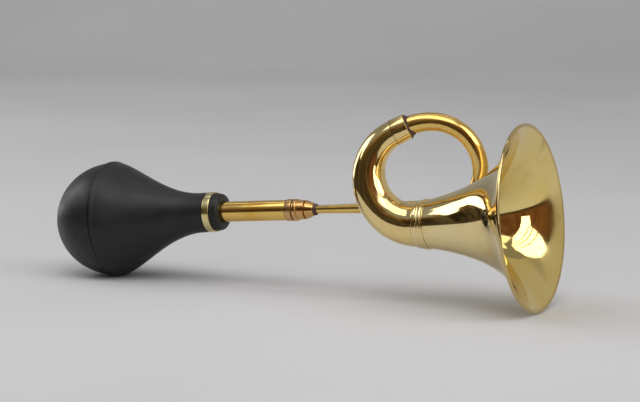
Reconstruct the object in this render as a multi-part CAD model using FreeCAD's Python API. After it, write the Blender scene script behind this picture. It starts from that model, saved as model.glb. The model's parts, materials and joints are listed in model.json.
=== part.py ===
"""Coiled bulb horn: rubber bulb, slip-in reed unit, tapered single-turn coil and flared brass bell.

The horn lies as it stands on a table: on the lip of its bulb and the bottom of its bell rim, with
the loop of the coil up. +X runs from the bulb to the bell and +Z is up. Lengths are millimetres.
"""
import FreeCAD, Part
import math
import os

# ---- Rubber bulb -------------------------------------------------------------------------------
bulb_radius = 42.0             # outside, at the seam
bulb_wall = 3.0
bulb_rear_length = 45.0        # seam to the tip of the rear dome
bulb_seam_to_neck = 80.3       # seam to the point where the bulb and stem axes cross
bulb_lean = 6.7                # degrees, the bulb's own axis above level
seam_lip_height = 0.9          # the front half's lip stands this proud of the rear half
seam_lip_width = 2.6
seam_tongue_length = 2.1       # the rear half reaches this far under the lip
seam_clearance = 0.05          # cemented lap joint
shoulder_inset = 1.0           # the shoulder starts this far inside the lip's outside
shoulder_chamfer = 1.4         # length of the slope behind the lip
shoulder_end_margin = 6.0      # the shoulder ends this far short of the crossing point
shoulder_fullness = 1.3        # exponent: larger is rounder near the seam
shoulder_sweep = 2.1           # exponent: larger is a longer, slimmer run into the neck
shoulder_points = 9

# ---- Neck of the bulb and its band -------------------------------------------------------------
neck_radius = 14.0
neck_root_step = 0.6           # the rubber behind the band is this much bigger
neck_root_gap = 0.9            # between that step and the band
neck_land_overlap = 3.0        # the land starts this far behind the crossing point
neck_collar_radius = 13.5      # beyond the band
neck_lip_radius = 13.9
neck_lip_width = 1.8
neck_length = 11.0             # past the crossing point
neck_corner = 2.6
neck_grip_length = 14.0        # solid rubber behind the crossing point
neck_bore_clearance = 0.05
band_width = 5.4
band_wall = 0.8
band_start = -0.6              # from the crossing point
band_clearance = 0.05
band_edge_round = 0.4

# ---- Brass stem --------------------------------------------------------------------------------
stem_radius = 7.5
stem_wall = 1.0
stem_in_neck = 16.0            # length of tube held behind the crossing point
stem_length = 83.5
stem_bead_height = 0.8         # rolled bead that the rubber neck grips
stem_bead_width = 2.4
stem_bead_from_end = 5.0
collar_width = 4.9
collar_wall = 0.5
collar_overhang = 0.4
braze_clearance = 0.02

# ---- Reed unit ---------------------------------------------------------------------------------
washer_thickness = 0.6
housing_bead_radius = 8.05
housing_bead_width = 3.6
housing_bead_round = 1.44      # radius on both of the bead's corners
housing_sleeve_radius = 7.1
housing_sleeve_length = 5.5
housing_spigot_length = 12.0
housing_bore_radius = 5.2
slip_clearance = 0.05          # spigot in the stem, radial
reducer_groove = 0.7
reducer_length = 6.0
reducer_large_radius = 7.0
reducer_small_radius = 4.5
reducer_spigot_length = 5.0
reducer_wall = 0.8
lead_solder_length = 2.4
lead_solder_height = 1.35
lead_solder_round = 0.8        # radius on the solder's outer corner

reed_plug_flange_radius = 6.1
reed_plug_flange_width = 1.0
reed_plug_length = 10.0        # inside the housing bore
reed_plug_bore_radius = 2.2
shallot_radius = 3.6
shallot_wall = 1.4
shallot_flat_height = 0.8      # flat face above the shallot's axis
shallot_length = 22.0          # beyond the plug's flange
shallot_end_wall = 1.0
shallot_in_plug = 6.0
tongue_width = 4.8
tongue_thickness = 0.35
tongue_lift = 0.9              # open height under the tip of the tongue at rest
tongue_seat_clearance = 0.05
tongue_root_gap = 0.1
tongue_tip_margin = 0.8
clamp_start = 0.8              # from the plug's flange
clamp_length = 4.6
clamp_thickness = 1.0
clamp_width = 7.0
clamp_round_radius = 4.45      # rounds the clamp's corners off inside the stem
reed_screw_radius = 0.55
reed_screw_head_radius = 0.95
reed_screw_head_height = 0.6
reed_screw_spread = 5.9        # between the two screws
reed_screw_depth = 1.4         # below the flat face
screw_slot_width = 0.3
screw_slot_depth = 0.3
fit_clearance = 0.04           # small parts that sit in one another

# ---- Tapered coil ------------------------------------------------------------------------------
pipe_lean = 4.5                # degrees, stem and lead pipe above level
lead_in_reducer = 5.0
lead_start_radius = 2.95
lead_taper = 0.0191            # growth of radius for each millimetre of pipe
lead_wall = 0.5
rise_radius = 27.5             # bend that turns the pipe upright
crown_radius = 32.8            # bend over the top
crown_exit_radius = 44.0       # slack bend that leads down to the ferrule
crown_exit_turn = 28.0         # degrees
ferrule_straight = 6.7
bow_side_radius = 31.4         # bend down the outside of the bow
coil_pitch = 24.5              # sideways step from the lead pipe to the bell

bow_start_radius = 9.1
bow_end_radius = 15.6
bow_wall = 0.7
bow_in_ferrule = 3.0
ferrule_length = 11.0
ferrule_wall = 0.5
lead_end_from_ferrule_end = 4.0
ferrule_solder_length = 2.6
ferrule_solder_recess = 0.7
section_spacing = 7.5          # between the sections that a tube is lofted through
least_sections = 3
tangent_step = 0.01            # half the chord that gives the coil's direction

stay_back_from_throat = 7.5
stay_radius = 2.6
stay_solder_clearance = 0.05

# ---- Bell --------------------------------------------------------------------------------------
bell_edge_radius = 63.95        # edge of the sheet, before the rolled bead
bell_length = 84.6             # throat to edge
bell_lean = 6.3                # degrees above level
bell_throat_radius = 15.7
bell_wall = 0.6
bell_tail_length = 2.5         # slides inside the bow
bell_tail_clearance = 0.1      # radial, at the tail's tip
flare_exponent = 1.3
flare_points = 14
bead_radius = 1.1
wire_clearance = 0.05
bell_reach = 258.5             # crossing point to the mouth, measured level
throat_ring_length = 9.0
throat_ring_wall = 0.5
throat_bead_height = 0.45
throat_bead_width = 1.8
throat_bead_gap = 0.8
throat_bead_end_margin = 1.0
joint_gap = 0.15               # dark line between the bow and the throat ring

X_AXIS = FreeCAD.Vector(1, 0, 0)
Y_AXIS = FreeCAD.Vector(0, 1, 0)
ORIGIN = FreeCAD.Vector(0, 0, 0)


# ---- Small helpers -----------------------------------------------------------------------------
def point(station, radius):
    """Profile point: station along the local axis, radius above it."""
    return FreeCAD.Vector(station, 0, radius)


def revolve(profile_wire):
    """Solid of revolution about the local X axis."""
    return Part.Face(profile_wire).revolve(ORIGIN, X_AXIS, 360)


def rod(start, end, radius):
    return Part.makeCylinder(radius, end - start, point(start, 0), X_AXIS)


def cone(start, end, start_radius, end_radius):
    return Part.makeCone(start_radius, end_radius, end - start, point(start, 0), X_AXIS)


def tube(start, end, outer, inner):
    return rod(start, end, outer).cut(rod(start, end, inner))


def torus(station, ring_radius, section_radius):
    return Part.makeTorus(ring_radius, section_radius, point(station, 0), X_AXIS)


def placed(shape, origin, lean):
    """Copy of a shape from a local axis frame, leaned up by some degrees."""
    copy = shape.copy()
    frame = FreeCAD.Placement(origin, FreeCAD.Rotation(Y_AXIS, -lean))
    copy.Placement = frame.multiply(copy.Placement)
    return copy


def round_edges(shape):
    return [edge for edge in shape.Edges if edge.Curve.TypeId == "Part::GeomCircle"]


def end_edges(shape):
    """Round edges at the far end of a shape that lies along the local axis."""
    last = max(edge.Curve.Center.x for edge in round_edges(shape))
    return [edge for edge in round_edges(shape) if edge.Curve.Center.x == last]


def smooth_edge(points):
    curve = Part.BSplineCurve()
    curve.interpolate(points)
    return curve.toShape()


# ---- Places that everything is set out from ----------------------------------------------------
def direction(lean):
    return FreeCAD.Vector(math.cos(math.radians(lean)), 0, math.sin(math.radians(lean)))


flare_growth = (bell_edge_radius / bell_throat_radius) ** (1 / flare_exponent)
flare_offset = bell_length / (flare_growth - 1)
edge_slope = flare_exponent * bell_edge_radius / flare_offset
edge_normal = 1 / math.hypot(1, edge_slope)
bead_offset = bead_radius - bell_wall / 2
bead_ring_radius = bell_edge_radius + bead_offset * edge_normal
bead_station = bell_length - bead_offset * edge_normal * edge_slope
mouth_radius = bead_ring_radius + bead_radius

lip_radius = bulb_radius + seam_lip_height
bulb_axis = direction(bulb_lean)
pipe_axis = direction(pipe_lean)
bell_axis = direction(bell_lean)

seam_height = lip_radius * math.cos(math.radians(bulb_lean))
bead_height = bead_ring_radius * math.cos(math.radians(bell_lean)) + bead_radius

neck_point = FreeCAD.Vector(0, 0, seam_height) + bulb_axis * bulb_seam_to_neck
neck_point.x = 0
seam_point = neck_point - bulb_axis * bulb_seam_to_neck
bead_point = FreeCAD.Vector(bell_reach, -coil_pitch, bead_height)
throat_point = bead_point - bell_axis * bead_station

collar_start = stem_length - stem_in_neck + collar_overhang - collar_width
collar_end = collar_start + collar_width
housing_face = collar_end + washer_thickness
sleeve_start = housing_face + housing_bead_width
sleeve_end = sleeve_start + housing_sleeve_length
reducer_start = sleeve_end + reducer_groove
reducer_end = reducer_start + reducer_length
lead_visible = reducer_end + lead_solder_length
lead_start = reducer_end - lead_in_reducer


# ---- Coil centre line --------------------------------------------------------------------------
def run_line(state, length):
    """One straight stretch of the coil, seen from the side."""
    x, z, heading = state
    end = (x + length * math.cos(heading), z + length * math.sin(heading), heading)
    return {"start": state, "end": end, "length": length, "radius": None}


def run_arc(state, radius, turn):
    """One bend of the coil, turning up from its heading by an angle in radians."""
    x, z, heading = state
    centre_x = x - radius * math.sin(heading)
    centre_z = z + radius * math.cos(heading)
    new_heading = heading + turn
    end_x = centre_x + radius * math.sin(new_heading)
    end_z = centre_z - radius * math.cos(new_heading)
    end = (end_x, end_z, new_heading)
    return {"start": state, "end": end, "length": radius * turn, "radius": radius}


def closing_radius(state):
    """Radius of the last bend, which lands on the bell's axis at the bell's lean."""
    x, z, _ = state
    lean = math.radians(bell_lean)
    drop = z - throat_point.z - (x - throat_point.x) * math.tan(lean)
    return drop / (math.cos(lean) + (1 + math.sin(lean)) * math.tan(lean))


def make_route(straight):
    """All stretches of the coil, from the solder at the reducer to the throat."""
    start = neck_point + pipe_axis * lead_visible
    route = [run_line((start.x, start.z, math.radians(pipe_lean)), straight)]
    route.append(run_arc(route[-1]["end"], rise_radius, math.pi / 2 - math.radians(pipe_lean)))
    route.append(run_arc(route[-1]["end"], crown_radius, math.pi / 2))
    route.append(run_arc(route[-1]["end"], crown_exit_radius, math.radians(crown_exit_turn)))
    route.append(run_line(route[-1]["end"], ferrule_straight))
    down = 1.5 * math.pi - route[-1]["end"][2]
    route.append(run_arc(route[-1]["end"], bow_side_radius, down))
    base_turn = math.pi / 2 + math.radians(bell_lean)
    route.append(run_arc(route[-1]["end"], closing_radius(route[-1]["end"]), base_turn))
    return route


def throat_miss(straight):
    """How far short of the throat the coil ends, along the bell's axis."""
    x, z, _ = make_route(straight)[-1]["end"]
    return (throat_point - FreeCAD.Vector(x, throat_point.y, z)).dot(bell_axis)


def lead_straight():
    """Straight run of the lead pipe that brings the bow's end to the throat; the miss is linear in it."""
    base_miss = throat_miss(0)
    return base_miss / (base_miss - throat_miss(1))


route = make_route(lead_straight())
route_length = sum(run["length"] for run in route)
loop_start = route[0]["length"]
bow_bends = 2                  # the last stretches of the coil, all in the bow
ferrule_end = sum(run["length"] for run in route[:-bow_bends])
ferrule_start = ferrule_end - ferrule_length
bow_start = ferrule_end - bow_in_ferrule
lead_end = ferrule_end - lead_end_from_ferrule_end


def side_view(distance):
    """Place and heading on the centre line, seen from the side."""
    for run in route:
        if distance <= run["length"] or run is route[-1]:
            break
        distance -= run["length"]
    if run["radius"] is None:
        return run_line(run["start"], distance)["end"]
    return run_arc(run["start"], run["radius"], distance / run["radius"])["end"]


def sideways(distance):
    """Sideways step of the coil, with no kink where the loop starts and ends."""
    share = (distance - loop_start) / (route_length - loop_start)
    share = min(max(share, 0), 1)
    return -coil_pitch * (share - math.sin(2 * math.pi * share) / (2 * math.pi))


def coil_point(distance):
    x, z, _ = side_view(distance)
    return FreeCAD.Vector(x, sideways(distance), z)


def coil_direction(distance):
    """Unit tangent of the centre line in space."""
    _, _, heading = side_view(distance)
    ahead, behind = sideways(distance + tangent_step), sideways(distance - tangent_step)
    rise = (ahead - behind) / (2 * tangent_step)
    return FreeCAD.Vector(math.cos(heading), rise, math.sin(heading)).normalize()


def coil_frame(distance):
    """Placement whose Z runs along the pipe and whose X points sideways."""
    along = coil_direction(distance)
    across = (Y_AXIS - along * along.dot(Y_AXIS)).normalize()
    turn = FreeCAD.Rotation(across, along.cross(across), along, "ZXY")
    return FreeCAD.Placement(coil_point(distance), turn)


def swept(start, end, radius_at):
    """Solid pipe between two distances, lofted through circles of the given radii."""
    count = max(least_sections, math.ceil((end - start) / section_spacing) + 1)
    sections = []
    for index in range(count):
        distance = start + (end - start) * index / (count - 1)
        section = Part.Wire(Part.makeCircle(radius_at(distance)))
        section.Placement = coil_frame(distance)
        sections.append(section)
    return Part.makeLoft(sections, True, False)


def lead_radius(distance):
    return lead_start_radius + lead_taper * distance


def bow_radius(distance):
    share = (distance - bow_start) / (route_length - bow_start)
    return bow_start_radius + (bow_end_radius - bow_start_radius) * share


# ---- Bulb --------------------------------------------------------------------------------------
shoulder_start = seam_lip_width + shoulder_chamfer
shoulder_end = bulb_seam_to_neck - shoulder_end_margin
cavity_end = bulb_seam_to_neck - neck_grip_length


def shoulder_radius(station):
    """Outside radius of the bulb's front at a station ahead of the seam."""
    share = (station - shoulder_start) / (shoulder_end - shoulder_start)
    fall = (1 - share ** shoulder_fullness) ** shoulder_sweep
    root_radius = neck_radius + neck_root_step
    return root_radius + (lip_radius - shoulder_inset - root_radius) * fall


def shoulder_edge(end, inset):
    """Smooth outline of the shoulder, from behind the lip to a station."""
    points = []
    for index in range(shoulder_points):
        station = shoulder_start + (end - shoulder_start) * index / (shoulder_points - 1)
        points.append(point(station, shoulder_radius(station) - inset))
    return smooth_edge(points), points[0], points[-1]


def dome(length, radius):
    """Half ellipsoid behind the seam."""
    points = []
    for index in range(shoulder_points):
        angle = math.pi / 2 * index / (shoulder_points - 1)
        points.append(point(-length * math.cos(angle), radius * math.sin(angle)))
    curve = Part.BSplineCurve()
    curve.interpolate(Points=points, InitialTangent=point(0, 1), FinalTangent=point(1, 0))
    sides = Part.makePolygon([points[-1], ORIGIN, points[0]])
    return revolve(Part.Wire([curve.toShape()] + sides.Edges))


def make_bulb_rear_shell():
    outside = dome(bulb_rear_length, bulb_radius).fuse(rod(0, seam_tongue_length, bulb_radius))
    inner_radius = bulb_radius - bulb_wall
    inside = dome(bulb_rear_length - bulb_wall, inner_radius)
    inside = inside.fuse(rod(0, seam_tongue_length, inner_radius))
    return placed(outside.cut(inside).removeSplitter(), seam_point, bulb_lean)


def bulb_front_outside():
    """Lip, shoulder and root of the neck, about the bulb's own axis."""
    edge, first, last = shoulder_edge(shoulder_end, 0)
    root_end = bulb_seam_to_neck + band_start - neck_root_gap
    corners = [last, point(root_end, last.z), point(root_end, 0), ORIGIN]
    corners += [point(0, lip_radius), point(seam_lip_width, lip_radius), first]
    return revolve(Part.Wire([edge] + Part.makePolygon(corners).Edges))


def bulb_front_inside():
    """Hollow of the front half, with the seat that the rear half's tongue fills."""
    edge, first, last = shoulder_edge(cavity_end, bulb_wall)
    seat_end = seam_tongue_length + seam_clearance
    seat_radius = bulb_radius + seam_clearance
    inner_radius = bulb_radius - bulb_wall
    corners = [last, point(last.x, 0), ORIGIN, point(0, seat_radius), point(seat_end, seat_radius)]
    corners += [point(seat_end, inner_radius), first]
    return revolve(Part.Wire([edge] + Part.makePolygon(corners).Edges))


def neck_outside():
    """Band land, lip and collar, about the stem's axis."""
    land_end = band_start + band_width + band_clearance
    lip_end = land_end + neck_lip_width
    land = rod(-neck_land_overlap, land_end, neck_radius)
    lip = rod(land_end, lip_end, neck_lip_radius)
    collar = rod(lip_end, neck_length, neck_collar_radius)
    collar = collar.makeFillet(neck_corner, end_edges(collar))
    return land.fuse([lip, collar])


stem_bead_station = stem_bead_from_end - stem_in_neck


def make_bulb_front_shell():
    outside = placed(bulb_front_outside(), seam_point, bulb_lean)
    outside = outside.fuse(placed(neck_outside(), neck_point, pipe_lean))
    groove_half = stem_bead_width / 2 + neck_bore_clearance
    bore_radius = stem_radius + neck_bore_clearance
    bore = rod(-stem_in_neck - neck_grip_length, neck_length, bore_radius)
    groove_start = stem_bead_station - groove_half
    bead_seat = rod(groove_start, groove_start + 2 * groove_half, bore_radius + stem_bead_height)
    bore = placed(bore.fuse(bead_seat), neck_point, pipe_lean)
    inside = placed(bulb_front_inside(), seam_point, bulb_lean)
    return outside.cut([inside, bore]).removeSplitter()


def make_neck_band():
    inner = neck_radius + band_clearance
    ring = tube(band_start, band_start + band_width, inner + band_wall, inner)
    outer_edges = [edge for edge in round_edges(ring) if edge.Curve.Radius > inner + band_wall / 2]
    return placed(ring.makeFillet(band_edge_round, outer_edges), neck_point, pipe_lean)


# ---- Stem --------------------------------------------------------------------------------------
def make_stem_tube():
    start = -stem_in_neck
    end = start + stem_length
    inner = stem_radius - stem_wall
    bead_section = stem_bead_width / 2
    bead = torus(stem_bead_station, stem_radius + stem_bead_height - bead_section, bead_section)
    body = rod(start, end, stem_radius).fuse(bead).cut(rod(start, end, inner))
    return placed(body, neck_point, pipe_lean)


def make_stem_collar():
    inner = stem_radius + braze_clearance
    ring = tube(collar_start, collar_end, inner + collar_wall, inner)
    return placed(ring, neck_point, pipe_lean)


# ---- Reed unit ---------------------------------------------------------------------------------
spigot_start = housing_face - housing_spigot_length
spigot_radius = stem_radius - stem_wall - slip_clearance
plug_face = spigot_start - reed_plug_flange_width
plug_end = spigot_start + reed_plug_length
shallot_tip = plug_face - shallot_length
clamp_end = plug_face - clamp_start
clamp_front = clamp_end - clamp_length
tongue_tip = shallot_tip + tongue_tip_margin
tongue_root = clamp_front - tongue_root_gap
tongue_length = tongue_root - tongue_tip
tongue_rest_angle = math.degrees(math.asin((tongue_lift - tongue_seat_clearance) / tongue_length))
tongue_pivot_height = shallot_flat_height + tongue_seat_clearance + tongue_thickness / 2


def block(start, end, width, low, high):
    """Box between two stations, centred sideways, between two heights over the axis."""
    return Part.makeBox(end - start, width, high - low, FreeCAD.Vector(start, -width / 2, low))


def upright(station, side, low, high, radius):
    return Part.makeCylinder(radius, high - low, FreeCAD.Vector(station, side, low))


def make_joint_washer():
    inner = stem_radius - stem_wall
    ring = tube(collar_end, housing_face, stem_radius - braze_clearance, inner)
    return placed(ring, neck_point, pipe_lean)


def make_reed_housing():
    spigot = rod(spigot_start, housing_face, spigot_radius)
    bead = rod(housing_face, sleeve_start, housing_bead_radius)
    bead = bead.makeFillet(housing_bead_round, round_edges(bead))
    core = rod(housing_face, sleeve_start, spigot_radius)
    sleeve = rod(sleeve_start, sleeve_end, housing_sleeve_radius)
    body = spigot.fuse([bead, core, sleeve]).cut(rod(spigot_start, sleeve_end, housing_bore_radius))
    return placed(body, neck_point, pipe_lean)


def lead_cone(start, end, growth=0.0):
    """Straight part of the lead pipe, as a solid, with its radius grown."""
    start_radius = lead_radius(start - lead_visible) + growth
    end_radius = lead_radius(end - lead_visible) + growth
    return cone(start, end, start_radius, end_radius)


def make_housing_reducer():
    spigot_end = reducer_start - reducer_spigot_length
    spigot = rod(spigot_end, reducer_start, housing_bore_radius - fit_clearance)
    body = spigot.fuse(cone(reducer_start, reducer_end, reducer_large_radius, reducer_small_radius))
    mouth_inner = housing_bore_radius - fit_clearance - reducer_wall
    throat_inner = lead_radius(lead_start - lead_visible)
    hollow = cone(spigot_end, lead_start, mouth_inner, throat_inner)
    body = body.cut([hollow, lead_cone(lead_start, reducer_end, braze_clearance)])
    return placed(body, neck_point, pipe_lean)


def make_lead_solder():
    ring = cone(reducer_end, lead_visible, reducer_small_radius, lead_start_radius + lead_solder_height)
    ring = ring.makeFillet(lead_solder_round, end_edges(ring))
    ring = ring.cut(lead_cone(reducer_end, lead_visible, braze_clearance))
    return placed(ring, neck_point, pipe_lean)


def make_reed_plug():
    flange = rod(plug_face, spigot_start, reed_plug_flange_radius)
    body = rod(spigot_start, plug_end, housing_bore_radius - fit_clearance)
    seat = rod(plug_face, plug_face + shallot_in_plug, shallot_radius + fit_clearance)
    bore = rod(plug_face, plug_end, reed_plug_bore_radius)
    return placed(flange.fuse(body).cut([seat, bore]), neck_point, pipe_lean)


screw_sides = (-reed_screw_spread / 2, reed_screw_spread / 2)


def make_reed_shallot():
    end = plug_face + shallot_in_plug
    body = rod(shallot_tip, end, shallot_radius)
    bore = rod(shallot_tip + shallot_end_wall, end, shallot_radius - shallot_wall)
    waste = block(shallot_tip, plug_face, 2 * shallot_radius, shallot_flat_height, shallot_radius)
    body = body.cut([bore, waste])
    middle = (clamp_front + clamp_end) / 2
    for side in screw_sides:
        hole = upright(middle, side, shallot_flat_height - reed_screw_depth, shallot_radius,
                       reed_screw_radius + braze_clearance)
        body = body.cut(hole)
    return placed(body, neck_point, pipe_lean)


def make_tongue_root():
    low = shallot_flat_height
    root = block(clamp_front, clamp_end, tongue_width, low, low + tongue_thickness)
    return placed(root, neck_point, pipe_lean)


def make_reed_tongue():
    half = tongue_thickness / 2
    blade = block(-tongue_length, 0, tongue_width, -half, half)
    blade = placed(blade, FreeCAD.Vector(tongue_root, 0, tongue_pivot_height), -tongue_rest_angle)
    return placed(blade, neck_point, pipe_lean)


def make_reed_clamp():
    low = shallot_flat_height
    high = low + tongue_thickness + clamp_thickness
    body = block(clamp_front, clamp_end, clamp_width, low, high)
    channel = block(clamp_front, clamp_end, tongue_width + 2 * fit_clearance, low, low + tongue_thickness)
    body = body.cut(channel)
    middle = (clamp_front + clamp_end) / 2
    for side in screw_sides:
        body = body.cut(upright(middle, side, low, high, reed_screw_radius + fit_clearance))
    round_limit = rod(clamp_front, clamp_end, clamp_round_radius)
    return placed(body.common(round_limit), neck_point, pipe_lean)


def make_reed_screws():
    top = shallot_flat_height + tongue_thickness + clamp_thickness
    middle = (clamp_front + clamp_end) / 2
    screws = []
    for side in screw_sides:
        shank = upright(middle, side, shallot_flat_height - reed_screw_depth, top, reed_screw_radius)
        head = upright(middle, side, top, top + reed_screw_head_height, reed_screw_head_radius)
        slot = block(middle - screw_slot_width / 2, middle + screw_slot_width / 2, clamp_width,
                     top + reed_screw_head_height - screw_slot_depth, top + reed_screw_head_height)
        slot.translate(FreeCAD.Vector(0, side, 0))
        screws.append(shank.fuse(head).cut(slot))
    return placed(Part.makeCompound(screws), neck_point, pipe_lean)


# ---- Coil --------------------------------------------------------------------------------------
def lead_solid(growth=0.0):
    """Lead pipe without its bore: straight cone, then the lofted loop."""
    straight = lead_cone(lead_start, lead_visible + loop_start, growth)
    straight = placed(straight, neck_point, pipe_lean)
    loop = swept(loop_start, lead_end, lambda distance: lead_radius(distance) + growth)
    return straight.fuse(loop)


def bow_solid(growth=0.0):
    return swept(bow_start, route_length, lambda distance: bow_radius(distance) + growth)


def make_leadpipe():
    return lead_solid().cut(lead_solid(-lead_wall))


def make_bow():
    return bow_solid().cut(bow_solid(-bow_wall))


def ferrule_cone(start, end, growth):
    """Cone about the straight stretch at the ferrule, on the same taper as the bow."""
    start_radius = bow_radius(start) + growth
    end_radius = bow_radius(end) + growth
    frame = coil_frame(ferrule_end)
    base = ferrule_end - start
    body = Part.makeCone(start_radius, end_radius, end - start, FreeCAD.Vector(0, 0, -base))
    body.Placement = frame
    return body


def make_ferrule():
    outside = ferrule_cone(ferrule_start, ferrule_end, fit_clearance + ferrule_wall)
    return outside.cut(ferrule_cone(ferrule_start, ferrule_end, fit_clearance))


def make_ferrule_solder():
    start = ferrule_start + ferrule_solder_recess
    ring = ferrule_cone(start, start + ferrule_solder_length, fit_clearance - braze_clearance)
    return ring.cut(lead_solid(braze_clearance))


def make_coil_stay():
    """Short post that ties the lead pipe to the big end of the bow behind it."""
    foot = coil_point(route_length - stay_back_from_throat)
    along_pipe = (foot.x - neck_point.x) / math.cos(math.radians(pipe_lean))
    head = neck_point + pipe_axis * along_pipe
    post = Part.makeCylinder(stay_radius, (head - foot).Length, foot, head - foot)
    return post.cut([lead_solid(stay_solder_clearance), bow_solid(stay_solder_clearance)])


# ---- Bell --------------------------------------------------------------------------------------
def flare_radius(station):
    """Outside radius of the bell at a station ahead of its throat."""
    return bell_edge_radius * (flare_offset / (bell_length - station + flare_offset)) ** flare_exponent


def flare_slope(station):
    return flare_exponent * flare_radius(station) / (bell_length - station + flare_offset)


def flare_curve(inset):
    """Smooth outline from the throat to the edge, moved in along its normal."""
    points = []
    for index in range(flare_points):
        share = index / (flare_points - 1)
        station = bell_length * math.sin(math.pi / 2 * share)
        slope = flare_slope(station)
        normal = inset / math.hypot(1, slope)
        points.append(point(station + normal * slope, flare_radius(station) - normal))
    return points


def make_bell():
    outside = flare_curve(0)
    inside = flare_curve(bell_wall)
    root_radius = bow_end_radius - bow_wall - fit_clearance
    tip_radius = bow_radius(route_length - bell_tail_length) - bow_wall - bell_tail_clearance
    tip_inner = tip_radius - bell_wall
    tail = [outside[0], point(0, root_radius), point(-bell_tail_length, tip_radius)]
    tail += [point(-bell_tail_length, tip_inner), inside[0]]
    edges = [smooth_edge(outside), smooth_edge(inside)]
    edges += Part.makePolygon(tail).Edges + [Part.makeLine(outside[-1], inside[-1])]
    sheet = revolve(Part.Wire(Part.__sortEdges__(edges)))
    bead = torus(bead_station, bead_ring_radius, bead_radius)
    hollow = torus(bead_station, bead_ring_radius, bead_radius - bell_wall)
    return placed(sheet.fuse(bead).cut(hollow), throat_point, bell_lean)


def make_rim_wire():
    wire = torus(bead_station, bead_ring_radius, bead_radius - bell_wall - wire_clearance)
    return placed(wire, throat_point, bell_lean)


def make_throat_ring():
    start = joint_gap
    end = start + throat_ring_length
    core = cone(start, end, flare_radius(start) + fit_clearance, flare_radius(end) + fit_clearance)
    grown = fit_clearance + throat_ring_wall
    ring = cone(start, end, flare_radius(start) + grown, flare_radius(end) + grown)
    last_bead = end - throat_bead_end_margin - throat_bead_width / 2
    for station in (last_bead, last_bead - throat_bead_width - throat_bead_gap):
        ring_radius = flare_radius(station) + grown + throat_bead_height - throat_bead_width / 2
        ring = ring.fuse(torus(station, ring_radius, throat_bead_width / 2))
    return placed(ring.cut(core), throat_point, bell_lean)


# ---- Assembly ----------------------------------------------------------------------------------
makers = {
    "bulb_rear_shell": make_bulb_rear_shell,
    "bulb_front_shell": make_bulb_front_shell,
    "neck_band": make_neck_band,
    "stem_tube": make_stem_tube,
    "stem_collar": make_stem_collar,
    "joint_washer": make_joint_washer,
    "reed_housing": make_reed_housing,
    "housing_reducer": make_housing_reducer,
    "lead_solder": make_lead_solder,
    "reed_plug": make_reed_plug,
    "reed_shallot": make_reed_shallot,
    "reed_tongue": make_reed_tongue,
    "reed_tongue_root": make_tongue_root,
    "reed_clamp": make_reed_clamp,
    "reed_screws": make_reed_screws,
    "leadpipe": make_leadpipe,
    "ferrule_solder": make_ferrule_solder,
    "bow_ferrule": make_ferrule,
    "bow": make_bow,
    "coil_stay": make_coil_stay,
    "throat_ring": make_throat_ring,
    "bell": make_bell,
    "rim_wire": make_rim_wire,
}


def footprint_centre():
    """Middle of the box round the whole horn, seen from above."""
    lean = math.radians(bulb_lean)
    tip = seam_point.x - math.hypot(bulb_rear_length * math.cos(lean), bulb_radius * math.sin(lean))
    mouth = bead_point.x + bead_ring_radius * math.sin(math.radians(bell_lean)) + bead_radius
    near = -coil_pitch - mouth_radius
    far = max(lip_radius, mouth_radius - coil_pitch)
    return FreeCAD.Vector((tip + mouth) / 2, (near + far) / 2, 0)


def main():
    os.makedirs("parts", exist_ok=True)
    shift = footprint_centre() * -1
    for node, make in makers.items():
        shape = make().copy()
        shape.translate(shift)
        shape.exportStep("parts/" + node + ".step")
        print(node, shape.isValid(), len(shape.Solids), round(shape.Volume, 1))


main()
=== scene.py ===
"""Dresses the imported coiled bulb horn: rubber bulb, brass stem, reed housing, coil and flared bell."""
import json
import math

import bmesh
import bpy
from mathutils import Matrix, Vector, noise


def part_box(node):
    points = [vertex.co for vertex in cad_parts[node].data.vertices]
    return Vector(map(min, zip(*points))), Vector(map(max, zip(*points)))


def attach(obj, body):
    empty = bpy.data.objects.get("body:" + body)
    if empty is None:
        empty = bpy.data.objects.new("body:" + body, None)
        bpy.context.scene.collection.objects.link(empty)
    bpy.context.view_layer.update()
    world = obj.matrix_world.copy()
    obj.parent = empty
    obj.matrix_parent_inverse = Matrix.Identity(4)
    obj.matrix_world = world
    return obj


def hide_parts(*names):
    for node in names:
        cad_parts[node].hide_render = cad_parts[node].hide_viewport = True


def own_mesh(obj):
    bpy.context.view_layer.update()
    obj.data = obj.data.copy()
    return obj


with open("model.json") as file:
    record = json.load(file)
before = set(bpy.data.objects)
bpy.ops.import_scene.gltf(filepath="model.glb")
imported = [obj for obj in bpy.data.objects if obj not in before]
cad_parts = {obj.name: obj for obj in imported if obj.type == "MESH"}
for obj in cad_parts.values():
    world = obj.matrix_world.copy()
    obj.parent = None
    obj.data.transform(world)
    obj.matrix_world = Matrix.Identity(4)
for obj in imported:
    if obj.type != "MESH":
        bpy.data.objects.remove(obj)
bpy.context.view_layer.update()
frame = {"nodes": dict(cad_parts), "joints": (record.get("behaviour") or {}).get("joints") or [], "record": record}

bl_info = {
    "name": "Bulb Horn Dresser",
    "version": (1, 0, 0),
    "blender": (4, 5, 0),
    "location": "View3D > Sidebar > Bulb Horn",
    "description": "Builds the rubber bulb, brass tubes, coil and bell of a bulb horn round its packed frame",
    "category": "Object",
}

MM = 0.001
TAU = 2 * math.pi

# ---- Where the horn's axes lie -------------------------------------------------------------------
CLAMP = frame["record"]["mounts"][0]
JOINTS = {joint["name"]: joint for joint in frame["joints"]}
PIPE_AXIS = Vector(CLAMP["axis"])
BULB_AXIS = Vector(JOINTS["bulb_squeeze"]["axis"])
CLAMP_STATION = 38.0 * MM             # the clamp's middle, from the neck
NECK_POINT = Vector(CLAMP["pos_m"]) - PIPE_AXIS * CLAMP_STATION
SIDE_AXIS = Vector((0, 1, 0))

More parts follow.
